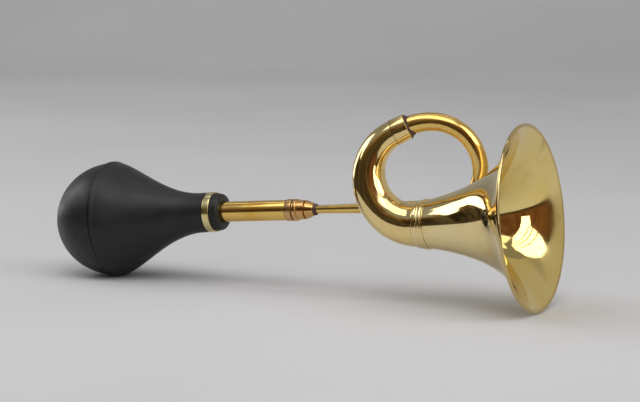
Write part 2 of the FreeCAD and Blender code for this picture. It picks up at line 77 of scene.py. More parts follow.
# ---- Resolution of the meshes --------------------------------------------------------------------
FINE_SIDES = 192
TUBE_SIDES = 96
CURVE_STEPS = 40
BEAD_SIDES = 16
CORNER_STEPS = 5
PATH_STEP = 1.25 * MM
SMOOTH_ANGLE = math.radians(32)

FIT = 0.05 * MM                       # clearance between a bulb, band or solder piece and what it sits on


def length(name, text, default):
    return bpy.props.FloatProperty(name=name, description=text, default=default, unit="LENGTH", precision=5)


def colour(name, text, default):
    return bpy.props.FloatVectorProperty(name=name, description=text, default=default, subtype="COLOR",
                                         size=3, min=0.0, max=1.0)


def amount(name, text, default):
    return bpy.props.FloatProperty(name=name, description=text, default=default, min=0.0, max=1.0,
                                   subtype="FACTOR")


class BulbSettings(bpy.types.PropertyGroup):
    radius: length("Radius", "Outside radius at the seam", 0.042)
    wall: length("Wall", "Thickness of the rubber", 0.003)
    rear_length: length("Rear length", "Seam to the tip of the rear dome", 0.045)
    seam_to_neck: length("Seam to neck", "Seam to the crossing of the bulb and stem axes", 0.0803)
    lip_height: length("Lip height", "How far the front half's lip stands proud", 0.0009)
    lip_width: length("Lip width", "Width of the lip along the bulb", 0.0026)
    lip_slope: length("Lip slope", "Length of the slope in front of the lip", 0.0014)
    shoulder_drop: length("Shoulder drop", "How far inside the lip the shoulder starts", 0.001)
    root_radius: length("Root radius", "Rubber just behind the band", 0.0146)
    root_margin: length("Root margin", "The shoulder ends this far short of the neck point", 0.006)
    root_end: length("Root end", "The shoulder's rubber stops this far short of the neck point", 0.0015)
    neck_radius: length("Neck radius", "Rubber under the band", 0.014)
    neck_lip_radius: length("Neck lip radius", "Small lip in front of the band", 0.0139)
    collar_radius: length("Collar radius", "Rubber in front of the band", 0.0135)
    neck_length: length("Neck length", "From the neck point to the end of the rubber", 0.011)
    collar_round: length("Collar round", "Radius on the end of the collar", 0.0026)
    band_start: length("Band start", "Where the band starts, from the neck point", -0.0006)
    band_width: length("Band width", "Width of the brass band", 0.0054)
    band_wall: length("Band wall", "Thickness of the brass band", 0.0008)
    rubber: colour("Rubber", "Colour of the rubber", (0.0080, 0.0080, 0.0088))
    bloom: colour("Bloom", "Colour of the grey bloom on the rubber", (0.024, 0.024, 0.026))
    roughness: amount("Roughness", "Roughness of the rubber", 0.44)


class StemSettings(bpy.types.PropertyGroup):
    radius: length("Radius", "Outside radius of the stem", 0.0075)
    wall: length("Wall", "Wall of the stem", 0.001)
    start: length("Start", "End of the stem inside the neck, from the neck point", -0.016)
    end: length("End", "Far end of the stem", 0.0675)
    collar_start: length("Collar start", "Start of the joint collar", 0.063)
    collar_width: length("Collar width", "Width of the joint collar", 0.0049)
    collar_wall: length("Collar wall", "Thickness of the joint collar", 0.0005)
    housing_face: length("Housing face", "Where the reed housing's bead starts", 0.0685)
    bead_width: length("Bead width", "Width of the housing's bead", 0.0036)
    bead_radius: length("Bead radius", "Outside radius of the housing's bead", 0.00805)
    sleeve_radius: length("Sleeve radius", "Outside radius of the housing's sleeve", 0.0071)
    sleeve_length: length("Sleeve length", "Length of the housing's sleeve", 0.0055)
    groove: length("Groove", "Gap between the sleeve and the reducer", 0.0007)
    reducer_length: length("Reducer length", "Length of the reducing cone", 0.006)
    reducer_large: length("Large radius", "Large end of the reducing cone", 0.007)
    reducer_small: length("Small radius", "Small end of the reducing cone", 0.0045)
    solder_length: length("Solder length", "Length of the solder at the lead pipe", 0.0024)
    solder_height: length("Solder height", "Height of the solder over the lead pipe", 0.00135)
    spigot_start: length("Spigot start", "Inner end of the housing's spigot", 0.0565)
    spigot_radius: length("Spigot radius", "Outside radius of the housing's spigot", 0.00645)
    bore_radius: length("Bore radius", "Bore of the reed housing", 0.0052)
    brass: colour("Brass", "Colour of the stem's warm brass", (0.86, 0.58, 0.17))
    copper: colour("Copper tint", "Colour of the tinted collar and housing", (0.70, 0.44, 0.20))
    solder: colour("Solder", "Colour of the darkened solder", (0.095, 0.057, 0.044))


class CoilSettings(bpy.types.PropertyGroup):
    rise_radius: length("Rise radius", "Bend that turns the pipe upright", 0.0275)
    crown_radius: length("Crown radius", "Bend over the top", 0.0328)
    exit_radius: length("Exit radius", "Slack bend that leads down to the ferrule", 0.044)
    exit_turn: bpy.props.FloatProperty(name="Exit turn", description="Turn of the slack bend",
                                       default=math.radians(28), subtype="ANGLE")
    ferrule_straight: length("Ferrule straight", "Straight stretch at the ferrule", 0.0067)
    bow_radius: length("Bow bend", "Bend down the outside of the bow", 0.0314)
    pitch: length("Pitch", "Sideways step of the coil", 0.0245)
    lead_start: length("Lead radius", "Radius of the lead pipe at the solder", 0.00295)
    lead_taper: bpy.props.FloatProperty(name="Lead taper", description="Growth of the radius along the pipe",
                                        default=0.0191, precision=4)
    bow_start: length("Bow start", "Radius of the bow at its small end", 0.0091)
    bow_end: length("Bow end", "Radius of the bow at the throat", 0.0156)
    bow_in_ferrule: length("Bow in ferrule", "How far the bow reaches into the ferrule", 0.003)
    lead_short: length("Lead short", "The lead pipe ends this far short of the ferrule's end", 0.004)
    ferrule_length: length("Ferrule length", "Length of the ferrule", 0.011)
    ferrule_wall: length("Ferrule wall", "Thickness of the ferrule", 0.0005)
    stay_radius: length("Stay radius", "Radius of the stay between the crossing pipes", 0.0026)
    brass: colour("Brass", "Colour of the coil's brass", (0.83, 0.57, 0.18))
    pale_brass: colour("Pale brass", "Colour of the bow and ferrule", (0.87, 0.68, 0.31))


class BellSettings(bpy.types.PropertyGroup):
    edge_radius: length("Edge radius", "Radius of the sheet's edge", 0.06395)
    length: length("Length", "Throat to edge", 0.0846)
    lean: bpy.props.FloatProperty(name="Lean", description="Lean of the bell above level",
                                  default=math.radians(6.3), subtype="ANGLE")
    throat_radius: length("Throat radius", "Outside radius at the throat", 0.0157)
    wall: length("Wall", "Thickness of the sheet", 0.0006)
    bead_radius: length("Bead radius", "Section radius of the rolled rim", 0.0011)
    exponent: bpy.props.FloatProperty(name="Flare", description="How sharply the bell flares", default=1.3)
    ring_length: length("Ring length", "Length of the throat ring", 0.009)
    ring_wall: length("Ring wall", "Thickness of the throat ring", 0.0005)
    joint_gap: length("Joint gap", "Dark line between the bow and the throat ring", 0.00015)
    crown_width: length("Crown width", "Width of the rolled band where the ring starts", 0.0032)
    bead_height: length("Bead height", "How far the turned beads stand proud", 0.00045)
    bead_width: length("Bead width", "Width of a turned bead", 0.0018)
    bead_gap: length("Bead gap", "Gap between the turned beads", 0.0008)
    bead_count: bpy.props.IntProperty(name="Beads", description="How many beads are turned on the ring", default=2)
    brass: colour("Brass", "Colour of the bell's brass", (0.87, 0.72, 0.38))
    inner_brass: colour("Inner brass", "Colour of the less polished brass inside", (0.80, 0.61, 0.205))
    edge_stain: colour("Edge stain", "Colour of the tarnish on the bead of the rim", (0.42, 0.30, 0.11))
    flare_haze: amount("Flare haze", "Roughness that the flare's inside gains next to the rim", 0.12)


class StageSettings(bpy.types.PropertyGroup):
    floor: colour("Floor", "Colour of the floor and backdrop", (0.66, 0.66, 0.67))
    azimuth: bpy.props.FloatProperty(name="Azimuth", description="Direction the camera looks from",
                                     default=math.radians(24.5), subtype="ANGLE")
    elevation: bpy.props.FloatProperty(name="Elevation", description="Height of the camera as an angle",
                                       default=math.radians(7.4), subtype="ANGLE")
    distance: length("Distance", "Camera to target", 1.8039)
    lens: bpy.props.FloatProperty(name="Lens", description="Focal length in millimetres", default=140.6)
    target: bpy.props.FloatVectorProperty(name="Target", description="Point that the camera looks at",
                                          default=(0.0173, 0.0235, 0.065), subtype="XYZ", unit="LENGTH")


# ---- Frames --------------------------------------------------------------------------------------
def axis_frame(origin, axis):
    """Matrix whose X runs along an axis, with Y level where it can be."""
    along = Vector(axis).normalized()
    level = Vector((1, 0, 0)) if abs(along.dot(SIDE_AXIS)) > 0.9 else SIDE_AXIS
    side = (level - along * along.dot(level)).normalized()
    up = along.cross(side)
    turn = Matrix((along, side, up)).transposed().to_4x4()
    return Matrix.Translation(origin) @ turn


PIPE_FRAME = axis_frame(NECK_POINT, PIPE_AXIS)


def bulb_frame():
    seam = NECK_POINT - BULB_AXIS * bpy.context.scene.horn_bulb.seam_to_neck
    return axis_frame(seam, BULB_AXIS)


# ---- Mesh helpers --------------------------------------------------------------------------------
def spread(start, end, count):
    """Numbers that run evenly from start to end in a count of steps."""
    return [start + (end - start) * step / count for step in range(count + 1)]


def share_between(value, low, high):
    """How far a value is from low to high, from 0 to 1."""
    return min(max((value - low) / (high - low), 0.0), 1.0)


def outline(corners, closed=True):
    """Points of an outline of (station, radius) or (station, radius, rounding) corners, each rounding an arc."""
    points = []
    count = len(corners)
    for index, (station, radius, *rounding) in enumerate(corners):
        at = Vector((station, radius))
        ends = not closed and index in (0, count - 1)
        if not rounding or ends:
            points.append(at)
            continue
        back = (Vector(corners[index - 1][:2]) - at).normalized()
        ahead = (Vector(corners[(index + 1) % count][:2]) - at).normalized()
        half = back.angle(ahead) / 2
        reach = rounding[0] / math.tan(half)
        centre = at + (back + ahead).normalized() * (rounding[0] / math.sin(half))
        first = at + back * reach - centre
        last = at + ahead * reach - centre
        sweep = math.atan2(first.x * last.y - first.y * last.x, first.dot(last))
        for share in spread(0.0, sweep, CORNER_STEPS):
            turned = Vector((first.x * math.cos(share) - first.y * math.sin(share),
                             first.x * math.sin(share) + first.y * math.cos(share)))
            points.append(centre + turned)
    return points


def hoop(start, end, inner, wall, rounding):
    """Corners of a thin band; its inside radius and its rounding are given for both ends."""
    return [(start, inner[0]), (start, inner[0] + wall, rounding[0]), (end, inner[1] + wall, rounding[1]),
            (end, inner[1])]


def turned_mesh(name, points, place, sides=TUBE_SIDES, closed=True, ripple=None):
    """Mesh turned from an outline about the local X axis; open outlines start and end on the axis."""
    verts, faces, uvs = [], [], []
    rings = points if closed else points[1:-1]
    run = [0.0]
    for index in range(1, len(points) + 1):
        run.append(run[-1] + (points[index % len(points)] - points[index - 1]).length)
    for index, spot in enumerate(rings):
        for side in range(sides):
            angle = TAU * side / sides
            radius = spot.y + (ripple(spot.x, angle) if ripple else 0.0)
            verts.append((spot.x, radius * math.cos(angle), radius * math.sin(angle)))
    total = len(rings)
    offset = 0 if closed else 1
    for index in range(total if closed else total - 1):
        after = (index + 1) % total
        low, high = run[index + offset], run[index + offset + 1]
        for side in range(sides):
            nxt = (side + 1) % sides
            faces.append((index * sides + side, index * sides + nxt, after * sides + nxt, after * sides + side))
            left, right = side / sides, (side + 1) / sides
            uvs += [(left, low), (right, low), (right, high), (left, high)]
    if not closed:
        for pole, ring, spot, low, high in ((len(verts), 0, points[0], run[0], run[1]),
                                            (len(verts) + 1, total - 1, points[-1], run[-2], run[-3])):
            verts.append((spot.x, 0, 0))
            for side in range(sides):
                nxt = (side + 1) % sides
                faces.append((pole, ring * sides + nxt, ring * sides + side))
                middle = (side + 0.5) / sides
                uvs += [(middle, low), ((side + 1) / sides, high), (side / sides, high)]
    mesh = bpy.data.meshes.new(name)
    mesh.from_pydata(verts, [], faces)
    layer = mesh.uv_layers.new(name="turn_and_run")
    for loop, uv in zip(layer.data, uvs):
        loop.uv = uv
    mesh.transform(place)
    return finished(name, mesh)


def linked(name, data):
    """Object in the scene for a mesh, lamp or camera."""
    thing = bpy.data.objects.new(name, data)
    bpy.context.scene.collection.objects.link(thing)
    return thing


def finished(name, mesh):
    """Object for a mesh whose faces are smooth, closed and point outwards."""
    work = bmesh.new()
    work.from_mesh(mesh)
    bmesh.ops.recalc_face_normals(work, faces=work.faces)
    if work.calc_volume(signed=True) < 0:
        bmesh.ops.reverse_faces(work, faces=work.faces)
    work.to_mesh(mesh)
    work.free()
    mesh.shade_smooth()
    mesh.set_sharp_from_angle(angle=SMOOTH_ANGLE)
    mesh.update()
    return linked(name, mesh)


def dress(piece, body, node, material):
    """Puts a finish on a piece and lets it stand for a node."""
    piece.data.materials.clear()
    piece.data.materials.append(material)
    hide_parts(node)
    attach(piece, body)
    return piece


def turned_piece(name, corners, place, sides, finish, body, node, closed=True, ripple=None):
    """Dressed piece that is turned from an outline's corners."""
    piece = turned_mesh(name, outline(corners, closed), place, sides, closed, ripple)
    return dress(piece, body, node, finish.material)


# ---- Material helpers ----------------------------------------------------------------------------
def add_node(tree, kind, values=(), **settings):
    """New node with its settings, and inputs by name or number that are linked to sockets or set to values."""
    node = tree.nodes.new(kind)
    for name, value in settings.items():
        setattr(node, name, value)
    for name, value in dict(values).items():
        if isinstance(value, bpy.types.NodeSocket):
            tree.links.new(value, node.inputs[name])
        else:
            node.inputs[name].default_value = value
    return node


class Finish:
    """A Principled material that is built up from noise, bands and bumps."""

    def __init__(self, name, roughness, metallic, tone, place=None):
        self.material = bpy.data.materials.new(name)
        self.material.use_nodes = True
        self.tree = self.material.node_tree
        self.inputs = self.tree.nodes["Principled BSDF"].inputs
        self.inputs["Metallic"].default_value = metallic
        self.inputs["Roughness"].default_value = roughness
        self.tone = tuple(tone)                # colour or socket of the base colour so far
        self.polish = self.normal = None       # sockets of the roughness and the bumps so far
        where = {"Vector": self.node("ShaderNodeTexCoord")["Object"]}
        if place is not None:
            where.update({"Location": place.to_translation(), "Rotation": place.to_euler()})
        self.place = self.node("ShaderNodeMapping", where, vector_type="TEXTURE")["Vector"]

    def node(self, kind, values=(), **settings):
        return add_node(self.tree, kind, values, **settings).outputs

    def cloud(self, scale, detail=3.0, rough=0.5, stretch=(1, 1, 1), warp=0.0):
        """Noise in the piece's own space; scale is in features for each metre."""
        where = self.node("ShaderNodeMapping", {"Vector": self.place, "Scale": stretch})["Vector"]
        return self.node("ShaderNodeTexNoise", {"Vector": where, "Scale": scale, "Detail": detail,
                                                "Roughness": rough, "Distortion": warp})["Fac"]

    def band(self, value, low, high, to_low=0.0, to_high=1.0):
        """Smooth step of a value between low and high."""
        limits = {"Value": value, "From Min": low, "From Max": high, "To Min": to_low, "To Max": to_high}
        return self.node("ShaderNodeMapRange", limits, interpolation_type="SMOOTHSTEP")["Result"]

    def maths(self, operation, first, second):
        return self.node("ShaderNodeMath", {0: first, 1: second}, operation=operation)["Value"]

    def axis(self, name):
        return self.node("ShaderNodeSeparateXYZ", {"Vector": self.place})[name]

    def mix(self, share, first, second):
        first, second = [(*part, 1) if isinstance(part, tuple) else part for part in (first, second)]
        return self.node("ShaderNodeMix", {"Factor": share, 6: first, 7: second}, data_type="RGBA")[2]

    def tint(self, share, tone):
        """Mixes a colour over the present base colour."""
        self.tone = self.mix(share, self.tone, tone)
        self.tree.links.new(self.tone, self.inputs["Base Color"])

    def roughness(self, value):
        self.polish = value
        self.tree.links.new(value, self.inputs["Roughness"])

    def ragged(self, scale, depth):
        """Station along the piece's axis, roughened by noise of a depth."""
        return self.maths("ADD", self.axis("X"), self.maths("MULTIPLY", self.cloud(scale, 2, 0.5), depth))

    def stain_and_shade_line(self, low, high, tone=(0.10, 0.065, 0.03)):
        """Dark line round the piece between two stations on its axis: old flux or dirt on the brass, painted shade at
        the rubber's lip; returns its mask.
        """
        strength = 0.85
        station = self.ragged(300, 0.3 * MM)
        edge = (high - low) / 3
        inside = self.maths("MULTIPLY", self.band(station, low, low + edge),
                            self.band(station, high, high + edge, 1, 0))
        self.tint(self.maths("MULTIPLY", inside, strength), tone)
        return inside

    def bump(self, height, distance):
        """Adds a bump on top of those before it."""
        values = {"Distance": distance, "Strength": 1.0, "Height": height}
        if self.normal is not None:
            values["Normal"] = self.normal
        self.normal = self.node("ShaderNodeBump", values)["Normal"]
        self.tree.links.new(self.normal, self.inputs["Normal"])


def shaded(base, factor):
    return tuple(min(1.0, channel * factor) for channel in base)


def brass_finish(name, base, place, smooth=0.07, tarnish=0.35, spots=0.0, waves=0.25, spin=True, haze=0.05):
    """Hand-polished brass: soft tarnish clouds, spin marks, hairline scratches and slight dents."""
    finish = Finish(name, smooth, 1.0, base, place)
    warm = (base[0] * 0.93, base[1] * 0.80, base[2] * 0.55)
    finish.tint(finish.band(finish.cloud(38, 4, 0.55, warp=0.6), 0.42, 0.72, 0.0, tarnish), warm)
    finish.tint(finish.band(finish.cloud(520, 3, 0.6), 0.35, 0.75, 0.0, 0.10), shaded(warm, 0.82))
    if spots:
        finish.tint(finish.band(finish.cloud(62, 2, 0.5, warp=1.2), 0.66, 0.76, 0.0, spots), (0.62, 0.24, 0.06))
    worn = finish.band(finish.cloud(95, 3, 0.6), 0.3, 0.8, smooth * 0.7, smooth * 1.7)
    breath = finish.band(finish.cloud(24, 2, 0.5), 0.35, 0.75, 0.0, haze)
    finish.roughness(finish.maths("ADD", worn, breath))
    finish.bump(finish.cloud(17, 1, 0.4), 0.9 * MM * waves)
    if spin:
        finish.bump(finish.cloud(900, 2, 0.5, stretch=(1.0, 0.02, 0.02)), 0.004 * MM)
    finish.bump(finish.cloud(1500, 3, 0.7, stretch=(0.12, 1.0, 1.0)), 0.003 * MM)
    return finish


def rubber_finish(name, bulb, place):
    """Moulded black rubber with a faint grey bloom, fine grain and dust."""
    finish = Finish(name, bulb.roughness, 0.0, bulb.rubber, place)
    finish.inputs["Specular IOR Level"].default_value = 0.42
    bloom = tuple(bulb.bloom)
    finish.tint(finish.band(finish.cloud(26, 4, 0.55, warp=0.5), 0.38, 0.74, 0.0, 0.45), bloom)
    finish.tint(finish.band(finish.cloud(1700, 2, 0.6), 0.70, 0.80, 0.0, 0.16), (0.16, 0.155, 0.15))
    finish.tint(finish.band(finish.cloud(240, 4, 0.7, stretch=(0.25, 1.0, 1.0)), 0.60, 0.78, 0.0, 0.22),
                shaded(bloom, 1.5))
    finish.roughness(finish.band(finish.cloud(70, 3, 0.6), 0.3, 0.75, bulb.roughness - 0.06, bulb.roughness + 0.09))
    finish.bump(finish.cloud(30, 1, 0.4), 0.25 * MM)
    finish.bump(finish.cloud(2600, 3, 0.6), 0.018 * MM)
    return finish


def solder_finish(name, base, place):
    """Dark, lumpy soft solder with bright worn crests."""
    finish = Finish(name, 0.42, 0.75, base, place)
    lumps = finish.cloud(700, 3, 0.6, warp=0.8)
    finish.tint(finish.band(lumps, 0.45, 0.75), shaded(base, 3.2))
    finish.roughness(finish.band(lumps, 0.35, 0.7, 0.62, 0.34))
    finish.bump(lumps, 0.22 * MM)
    return finish


def grained_finish(name, roughness, metallic, dark, pale, grain, band, depth):
    """Finish of a hidden piece: two tones and a bump from one fine grain."""
    finish = Finish(name, roughness, metallic, dark)
    height = finish.cloud(*grain)
    finish.tint(finish.band(height, *band), pale)
    finish.bump(height, depth)
    return finish.material


def plain_metal(name, base, roughness):
    """Machined metal that is mostly hidden inside the horn."""
    return grained_finish(name, roughness, 1.0, shaded(base, 0.8), base, (1200, 3, 0.6), (0.3, 0.8), 0.01 * MM)


def leather_finish(name):
    """Dark oiled leather."""
    return grained_finish(name, 0.7, 0.0, (0.05, 0.028, 0.016), (0.11, 0.06, 0.032), (900, 4, 0.65), (0.3, 0.7),
                          0.06 * MM)


def paint_node(node, material):
    """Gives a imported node's mesh a finish of its own."""
    mesh = frame["nodes"][node].data
    if not mesh.materials:
        mesh.materials.append(material)
    for index in range(len(mesh.materials)):
        mesh.materials[index] = material


# ---- Bulb ----------------------------------------------------------------------------------------
def shoulder_radius(bulb, station):
    """Outside radius of the bulb's front half at a station ahead of the seam."""
    fullness, sweep = 1.3, 2.1
    start = bulb.lip_width + bulb.lip_slope
    end = bulb.seam_to_neck - bulb.root_margin
    share = share_between(station, start, end)
    top = bulb.radius + bulb.lip_height - bulb.shoulder_drop
    return bulb.root_radius + (top - bulb.root_radius) * (1 - share ** fullness) ** sweep


class HORN_OT_bulb(bpy.types.Operator):
    """Rear dome, front half with its lip, rubber neck and brass band"""
    bl_idname = "horn.bulb"
    bl_label = "Bulb"

    def execute(self, context):
        bulb = context.scene.horn_bulb
        place = bulb_frame()
        front = rubber_finish("rubber_front", bulb, place)
        # Painted shade: a black, glossless line round the front half's lip edge, where the lip shades the rear dome.
        line_width, black = 0.6 * MM, (0.001, 0.001, 0.001)
        lip_shade_mask = front.stain_and_shade_line(0.0, line_width, black)
        front.tree.links.new(lip_shade_mask, front.inputs["Metallic"])       # black metal takes the gloss off the painted shade line
        self.rear_half(bulb, place, rubber_finish("rubber_rear", bulb, place))
        self.front_half(bulb, place, front)
        self.neck(bulb, context.scene.horn_stem, front)
        self.band(bulb)
        return {"FINISHED"}

    def rear_half(self, bulb, place, finish):
        """Rear dome, with a groove before the seam and a tongue that goes inside the front half."""
        tongue = 2.1 * MM
        groove_width, groove_depth, groove_end = 0.9 * MM, 0.8 * MM, 0.3 * MM
        inner = bulb.radius - bulb.wall
        corners = []
        for angle in spread(0.0, math.pi / 2, CURVE_STEPS * 2):
            station = -bulb.rear_length * math.cos(angle)
            near = max(0.0, 1 + station / groove_width)
            corners.append((station, bulb.radius * math.sin(angle) - groove_depth * near * near))
        corners += [(groove_end, bulb.radius), (tongue, bulb.radius), (tongue, inner)]
        corners += [(-(bulb.rear_length - bulb.wall) * math.cos(angle), inner * math.sin(angle))
                    for angle in reversed(spread(0.0, math.pi / 2, CURVE_STEPS))]
        turned_piece("bulb_rear", corners, place, FINE_SIDES, finish, "bulb_rear", "bulb_rear_shell",
                     closed=False)

    def front_half(self, bulb, place, finish):
        """Lip, hollow shoulder and the root at the band."""
        lip = bulb.radius + bulb.lip_height
        start = bulb.lip_width + bulb.lip_slope
        end = bulb.seam_to_neck - bulb.root_end
        root_bore = bulb.root_radius - 1.6 * MM
        bore_length, seat, seat_radius = 10.0 * MM, 2.15 * MM, bulb.radius + FIT
        outside = spread(start, bulb.seam_to_neck - bulb.root_margin, CURVE_STEPS)
        inside = reversed(spread(start, end - 2 * bore_length, CURVE_STEPS))
        corners = [(0.0, lip, 0.3 * MM), (bulb.lip_width, lip, 1.2 * MM)]
        corners += [(station, shoulder_radius(bulb, station)) for station in outside]
        corners += [(end, bulb.root_radius, 0.3 * MM), (end, root_bore), (end - bore_length, root_bore)]
        corners += [(station, shoulder_radius(bulb, station) - bulb.wall) for station in inside]
        corners += [(seat, bulb.radius - bulb.wall), (seat, seat_radius), (0.0, seat_radius)]
        piece = turned_piece("bulb_front", corners, place, FINE_SIDES, finish, "bulb_mount", "bulb_front_shell")
        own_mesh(piece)

    def neck(self, bulb, stem, finish):
        """Cone hidden in the root, land for the band, small lip and collar."""
        land_end = bulb.band_start + bulb.band_width + FIT
        lip_end = land_end + 1.8 * MM
        bore = stem.radius + FIT
        back, back_radius, cone_end, cone_radius, land = -9.0 * MM, 11.0 * MM, -4.0 * MM, 13.0 * MM, -3.0 * MM
        mouth_wall, mouth_depth = 0.9 * MM, 0.8 * MM
        corners = [(back, bore), (back, back_radius), (cone_end, cone_radius), (land, bulb.neck_radius),
                   (land_end, bulb.neck_radius), (land_end, bulb.neck_lip_radius),
                   (lip_end, bulb.neck_lip_radius, 0.5 * MM), (lip_end, bulb.collar_radius, 0.2 * MM),
                   (bulb.neck_length, bulb.collar_radius, bulb.collar_round),
                   (bulb.neck_length, bore + mouth_wall, 0.4 * MM), (bulb.neck_length - mouth_depth, bore)]
        piece = turned_mesh("bulb_neck", outline(corners), PIPE_FRAME, FINE_SIDES)
        piece.data.materials.append(finish.material)
        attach(piece, "bulb_mount")

    def band(self, bulb):
        inner = bulb.neck_radius + FIT
        corners = hoop(bulb.band_start, bulb.band_start + bulb.band_width, (inner, inner), bulb.band_wall,
                       (0.3 * MM, 0.3 * MM))
        finish = brass_finish("brass_band", (0.80, 0.70, 0.36), PIPE_FRAME, smooth=0.16, tarnish=0.6, waves=0.5)
        turned_piece("band", corners, PIPE_FRAME, FINE_SIDES, finish, "bulb_mount", "neck_band")


# ---- Stem and reed housing -----------------------------------------------------------------------
def lead_radius(coil, distance):
    """Outside radius of the lead pipe at a station on the coil's line."""
    return coil.lead_start + coil.lead_taper * distance


def lead_visible(stem):
    """Station, from the neck point, where the lead pipe comes out of the solder."""
    sleeve_end = stem.housing_face + stem.bead_width + stem.sleeve_length
    return sleeve_end + stem.groove + stem.reducer_length + stem.solder_length


class HORN_OT_stem(bpy.types.Operator):
    """Stem, joint collar, washer, reed housing, reducing cone and solder"""
    bl_idname = "horn.stem"
    bl_label = "Stem"

    def execute(self, context):
        stem = context.scene.horn_stem
        coil = context.scene.horn_coil
        self.tube(stem)
        self.collar(stem)
        self.housing(stem)
        self.reducer(stem, coil)
        self.solder(stem, coil)
        paint_node("joint_washer", leather_finish("washer_leather"))
        return {"FINISHED"}

    def tube(self, stem):
        """Stem with the bead that holds it in the rubber."""
        inner = stem.radius - stem.wall
        bead_at, bead_half, bead_height = -11.0 * MM, 1.2 * MM, 0.8 * MM
        bead = [(bead_at - bead_half * math.cos(angle), stem.radius + bead_height * math.sin(angle))
                for angle in spread(0.0, math.pi, CORNER_STEPS * 2)]
        corners = [(stem.start, inner), (stem.start, stem.radius, 0.3 * MM), *bead,
                   (stem.end, stem.radius, 0.15 * MM), (stem.end, inner)]
        finish = brass_finish("brass_stem", stem.brass, PIPE_FRAME, smooth=0.11, tarnish=0.75, waves=0.18, spin=False)
        turned_piece("stem", corners, PIPE_FRAME, TUBE_SIDES, finish, "bulb_mount", "stem_tube")

    def collar(self, stem):
        """Tinted collar with a browned edge on the bulb's side."""
        inner = stem.radius + 0.02 * MM
        start = stem.collar_start
        corners = hoop(start, start + stem.collar_width, (inner, inner), stem.collar_wall, (0.2 * MM, 0.25 * MM))
        finish = brass_finish("brass_collar", stem.copper, PIPE_FRAME, smooth=0.16, tarnish=0.7, waves=0.3)
        browned = finish.band(finish.ragged(420, 1.6 * MM), start + 1.0 * MM, start + 1.7 * MM, 0.8, 0.0)
        finish.tint(browned, (0.30, 0.17, 0.09))
        turned_piece("joint_collar", corners, PIPE_FRAME, TUBE_SIDES, finish, "bulb_mount", "stem_collar")

    def housing(self, stem):
        """Spigot that fits the stem, bead and sleeve."""
        face = stem.housing_face
        bead_end = face + stem.bead_width
        sleeve_end = bead_end + stem.sleeve_length
        corners = [(stem.spigot_start, stem.bore_radius), (stem.spigot_start, stem.spigot_radius, 0.2 * MM),
                   (face, stem.spigot_radius), (face, stem.bead_radius, 1.0 * MM),
                   (bead_end, stem.bead_radius, 1.1 * MM), (bead_end, stem.sleeve_radius, 0.15 * MM),
                   (sleeve_end, stem.sleeve_radius, 0.3 * MM), (sleeve_end, stem.bore_radius)]
        finish = brass_finish("brass_housing", stem.copper, PIPE_FRAME, smooth=0.13, tarnish=0.9, waves=0.2)
        turned_piece("reed_housing_shell", corners, PIPE_FRAME, TUBE_SIDES, finish, "horn", "reed_housing")

    def reducer(self, stem, coil):
        """Cone from the housing down to the lead pipe, with a spigot inside the housing."""
        end = lead_visible(stem) - stem.solder_length
        start = end - stem.reducer_length
        neck_inner = lead_radius(coil, -stem.solder_length) + 0.03 * MM
        spigot, spigot_wall = start - 5.0 * MM, 0.8 * MM
        bore = stem.bore_radius - 0.04 * MM
        corners = [(spigot, bore - spigot_wall), (spigot, bore), (start, bore),
                   (start, stem.reducer_large, 0.5 * MM), (end, stem.reducer_small, 0.3 * MM), (end, neck_inner)]
        finish = brass_finish("brass_reducer", stem.copper, PIPE_FRAME, smooth=0.13, tarnish=0.9, waves=0.2)
        turned_piece("reducer", corners, PIPE_FRAME, TUBE_SIDES, finish, "horn", "housing_reducer")

    def solder(self, stem, coil):
        """Lumpy solder where the lead pipe leaves the reducer."""
        end = lead_visible(stem)
        start = end - stem.solder_length
        inner = coil.lead_start - FIT
        shoulder = (end - 0.4 * MM, coil.lead_start + stem.solder_height - 0.2 * MM, 0.6 * MM)
        corners = [(start, inner), (start, stem.reducer_small - 0.1 * MM, 0.2 * MM), shoulder, (end, inner)]

        def lumpy(station, angle):
            at = Vector((station * 900, math.cos(angle) * 1.7, math.sin(angle) * 1.7))
            return 0.10 * MM * noise.noise(at) - 0.05 * MM
        turned_piece("pipe_solder", corners, PIPE_FRAME, TUBE_SIDES,
                     solder_finish("solder_pipe", stem.solder, PIPE_FRAME), "horn", "lead_solder",
                     ripple=lumpy)


class HORN_OT_reed(bpy.types.Operator):
    """Finishes of the reed parts inside the stem"""
    bl_idname = "horn.reed"
    bl_label = "Reed"

    def execute(self, context):
        for name, base, roughness, nodes in (
                ("reed_turned_brass", (0.78, 0.62, 0.3), 0.3, ("reed_plug", "reed_shallot", "reed_clamp")),
                ("reed_bronze_strip", (0.8, 0.52, 0.28), 0.25, ("reed_tongue", "reed_tongue_root")),
                ("reed_screw_steel", (0.56, 0.56, 0.58), 0.3, ("reed_screws",))):
            metal = plain_metal(name, base, roughness)
            for node in nodes:
                paint_node(node, metal)
        return {"FINISHED"}


# ---- Coil ----------------------------------------------------------------------------------------
def run_line(state, distance):
    """Straight run in the side view, from a state of x, z and heading."""
    x, z, heading = state
    end = (x + distance * math.cos(heading), z + distance * math.sin(heading), heading)
    return {"start": state, "end": end, "length": distance, "radius": None}


def run_arc(state, radius, turn):
    """Run that bends upwards and back by a turn, in the side view."""
    x, z, heading = state
    centre_x = x - radius * math.sin(heading)
    centre_z = z + radius * math.cos(heading)
    ahead = heading + turn
    end = (centre_x + radius * math.sin(ahead), centre_z - radius * math.cos(ahead), ahead)
    return {"start": state, "end": end, "length": radius * turn, "radius": radius}


